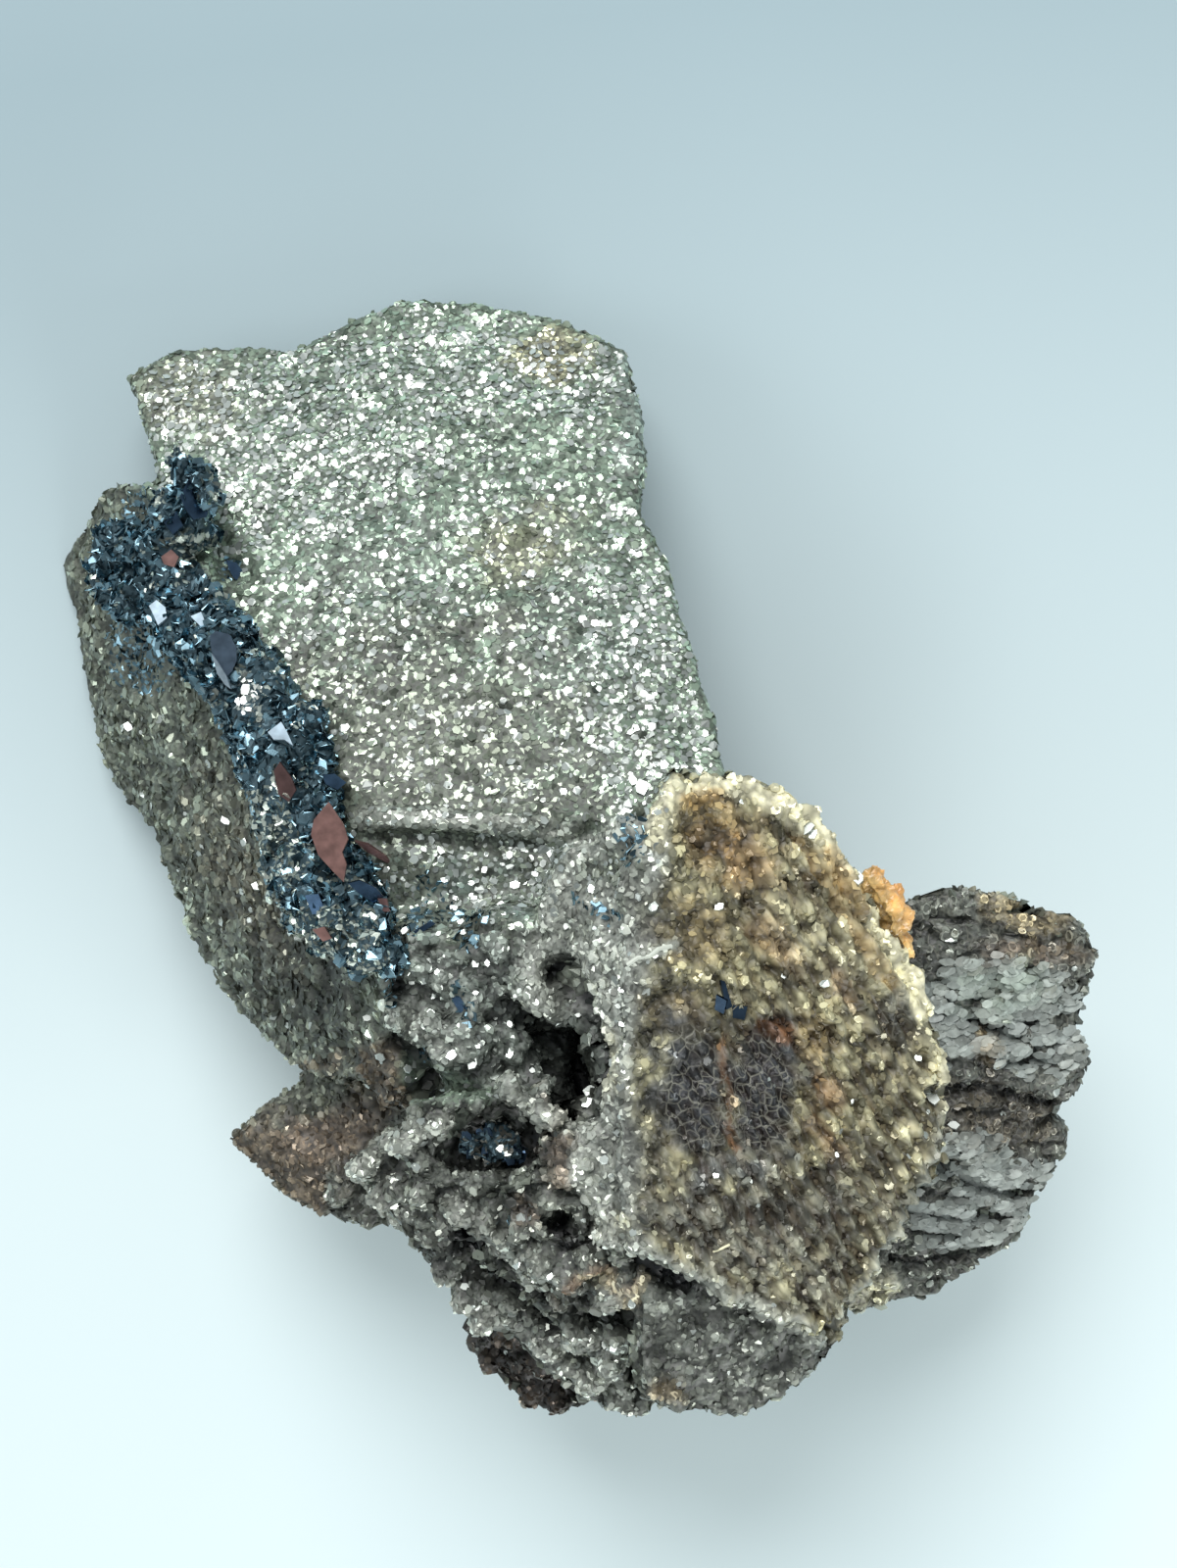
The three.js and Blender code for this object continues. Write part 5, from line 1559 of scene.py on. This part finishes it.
def lay_floor(stage):
    """A wide pale sheet whose colour grows lighter towards the front, painted light standing in for light
    falling off towards the back.
    """
    half = FLOOR_HALF
    corners = [(-half, -half, 0), (half, -half, 0), (half, half, 0), (-half, half, 0)]
    sheet = bpy.data.meshes.new("floor")
    sheet.from_pydata(corners, [], [[0, 1, 2, 3]])
    material, tree, shader = new_material("floor", 0, 0.9)
    where = tree.nodes.new("ShaderNodeTexCoord")
    slope = tree.nodes.new("ShaderNodeVectorMath")
    slope.operation = "DOT_PRODUCT"
    tree.links.new(where.outputs["Object"], slope.inputs[0])
    slope.inputs[1].default_value = FLOOR_SLOPE
    share = ranged(tree, slope.outputs["Value"], 0.0, 1.0, -0.068, 0.01)
    shades = mixed(tree, "MIX", share, (*stage.floor_far, 1), (*stage.floor_near, 1))
    tree.links.new(shades, shader.inputs["Base Color"])
    sheet.materials.append(material)
    floor = linked("floor", sheet)


def set_lights(stage):
    """The broad light of a window and two soft panels."""
    window = bpy.data.lights.new("window", "SUN")
    window.energy = stage.window
    window.angle = WINDOW_SPREAD
    linked("window", window).rotation_euler = (-KEY_FROM).to_track_quat("-Z", "Y").to_euler()
    aimed_light(
        "low front", (0.14, -0.24, 0.16), (0.02, -0.08, 0), 0.2, 0.12, stage.low_power, (0.98, 1.0, 0.99)
    )
    aimed_light(
        "left panel", (-0.4, -0.05, 0.3), (0, 0, 0.02), 0.3, 0.2, stage.side_power, (0.94, 0.98, 1.0)
    )


def set_sky(scene):
    """Even light from all round."""
    world = bpy.data.worlds.new("soft sky")
    world.use_nodes = True
    sky = world.node_tree.nodes["Background"]
    sky.inputs["Color"].default_value = (0.86, 0.95, 0.98, 1)
    sky.inputs["Strength"].default_value = scene.specimen_stage.sky
    scene.world = world
    scene.view_settings.view_transform = "Standard"


def set_camera(scene):
    """A camera straight above, from where the places in the tables are seen."""
    eye = bpy.data.cameras.new("camera")
    eye.sensor_width = SENSOR_WIDTH
    eye.lens = SENSOR_WIDTH * (EYE.z - TRACE_HEIGHT) / PHOTO_HEIGHT
    eye.clip_start, eye.clip_end = 0.01, 20
    camera = linked("camera", eye)
    camera.location = EYE * MM
    scene.camera = camera


class SPECIMEN_OT_stage(bpy.types.Operator):
    """Lay the pale floor and set the soft lights, the sky and the camera"""

    bl_idname = "specimen.stage"
    bl_label = "Stage"

    def execute(self, context):
        lay_floor(context.scene.specimen_stage)
        set_lights(context.scene.specimen_stage)
        set_sky(context.scene)
        set_camera(context.scene)
        return {"FINISHED"}


class SPECIMEN_PT_panel(bpy.types.Panel):
    """The specimen's pieces, sizes and colours"""

    bl_idname = "SPECIMEN_PT_panel"
    bl_label = "Hematite Specimen"
    bl_space_type = "VIEW_3D"
    bl_region_type = "UI"
    bl_category = "Specimen"

    def draw(self, context):
        for title, settings in (
            ("Sizes", context.scene.specimen_sizes),
            ("Colours", context.scene.specimen_colours),
            ("Stage", context.scene.specimen_stage),
        ):
            box = self.layout.box()
            box.label(text=title)
            for name in settings.bl_rna.properties.keys():
                if name not in ("rna_type", "name"):
                    box.prop(settings, name)
        for operator in OPERATORS:
            self.layout.operator(operator.bl_idname)


OPERATORS = [
    SPECIMEN_OT_rock,
    SPECIMEN_OT_flakes,
    SPECIMEN_OT_beads,
    SPECIMEN_OT_scales,
    SPECIMEN_OT_crust,
    SPECIMEN_OT_nest,
    SPECIMEN_OT_standouts,
    SPECIMEN_OT_stained_crystal,
    SPECIMEN_OT_stage,
]
CLASSES = [SpecimenSizes, SpecimenColours, StageSettings, *OPERATORS, SPECIMEN_PT_panel]


def register():
    for each in CLASSES:
        bpy.utils.register_class(each)
    bpy.types.Scene.specimen_sizes = PointerProperty(type=SpecimenSizes)
    bpy.types.Scene.specimen_colours = PointerProperty(type=SpecimenColours)
    bpy.types.Scene.specimen_stage = PointerProperty(type=StageSettings)


def unregister():
    del bpy.types.Scene.specimen_stage
    del bpy.types.Scene.specimen_colours
    del bpy.types.Scene.specimen_sizes
    for each in reversed(CLASSES):
        bpy.utils.unregister_class(each)


def main():
    register()
    bpy.ops.specimen.rock()
    bpy.ops.specimen.flakes()
    bpy.ops.specimen.beads()
    bpy.ops.specimen.scales()
    bpy.ops.specimen.crust()
    bpy.ops.specimen.nest()
    bpy.ops.specimen.standouts()
    bpy.ops.specimen.stained_crystal()
    bpy.ops.specimen.stage()


if __name__ == "__main__":
    main()
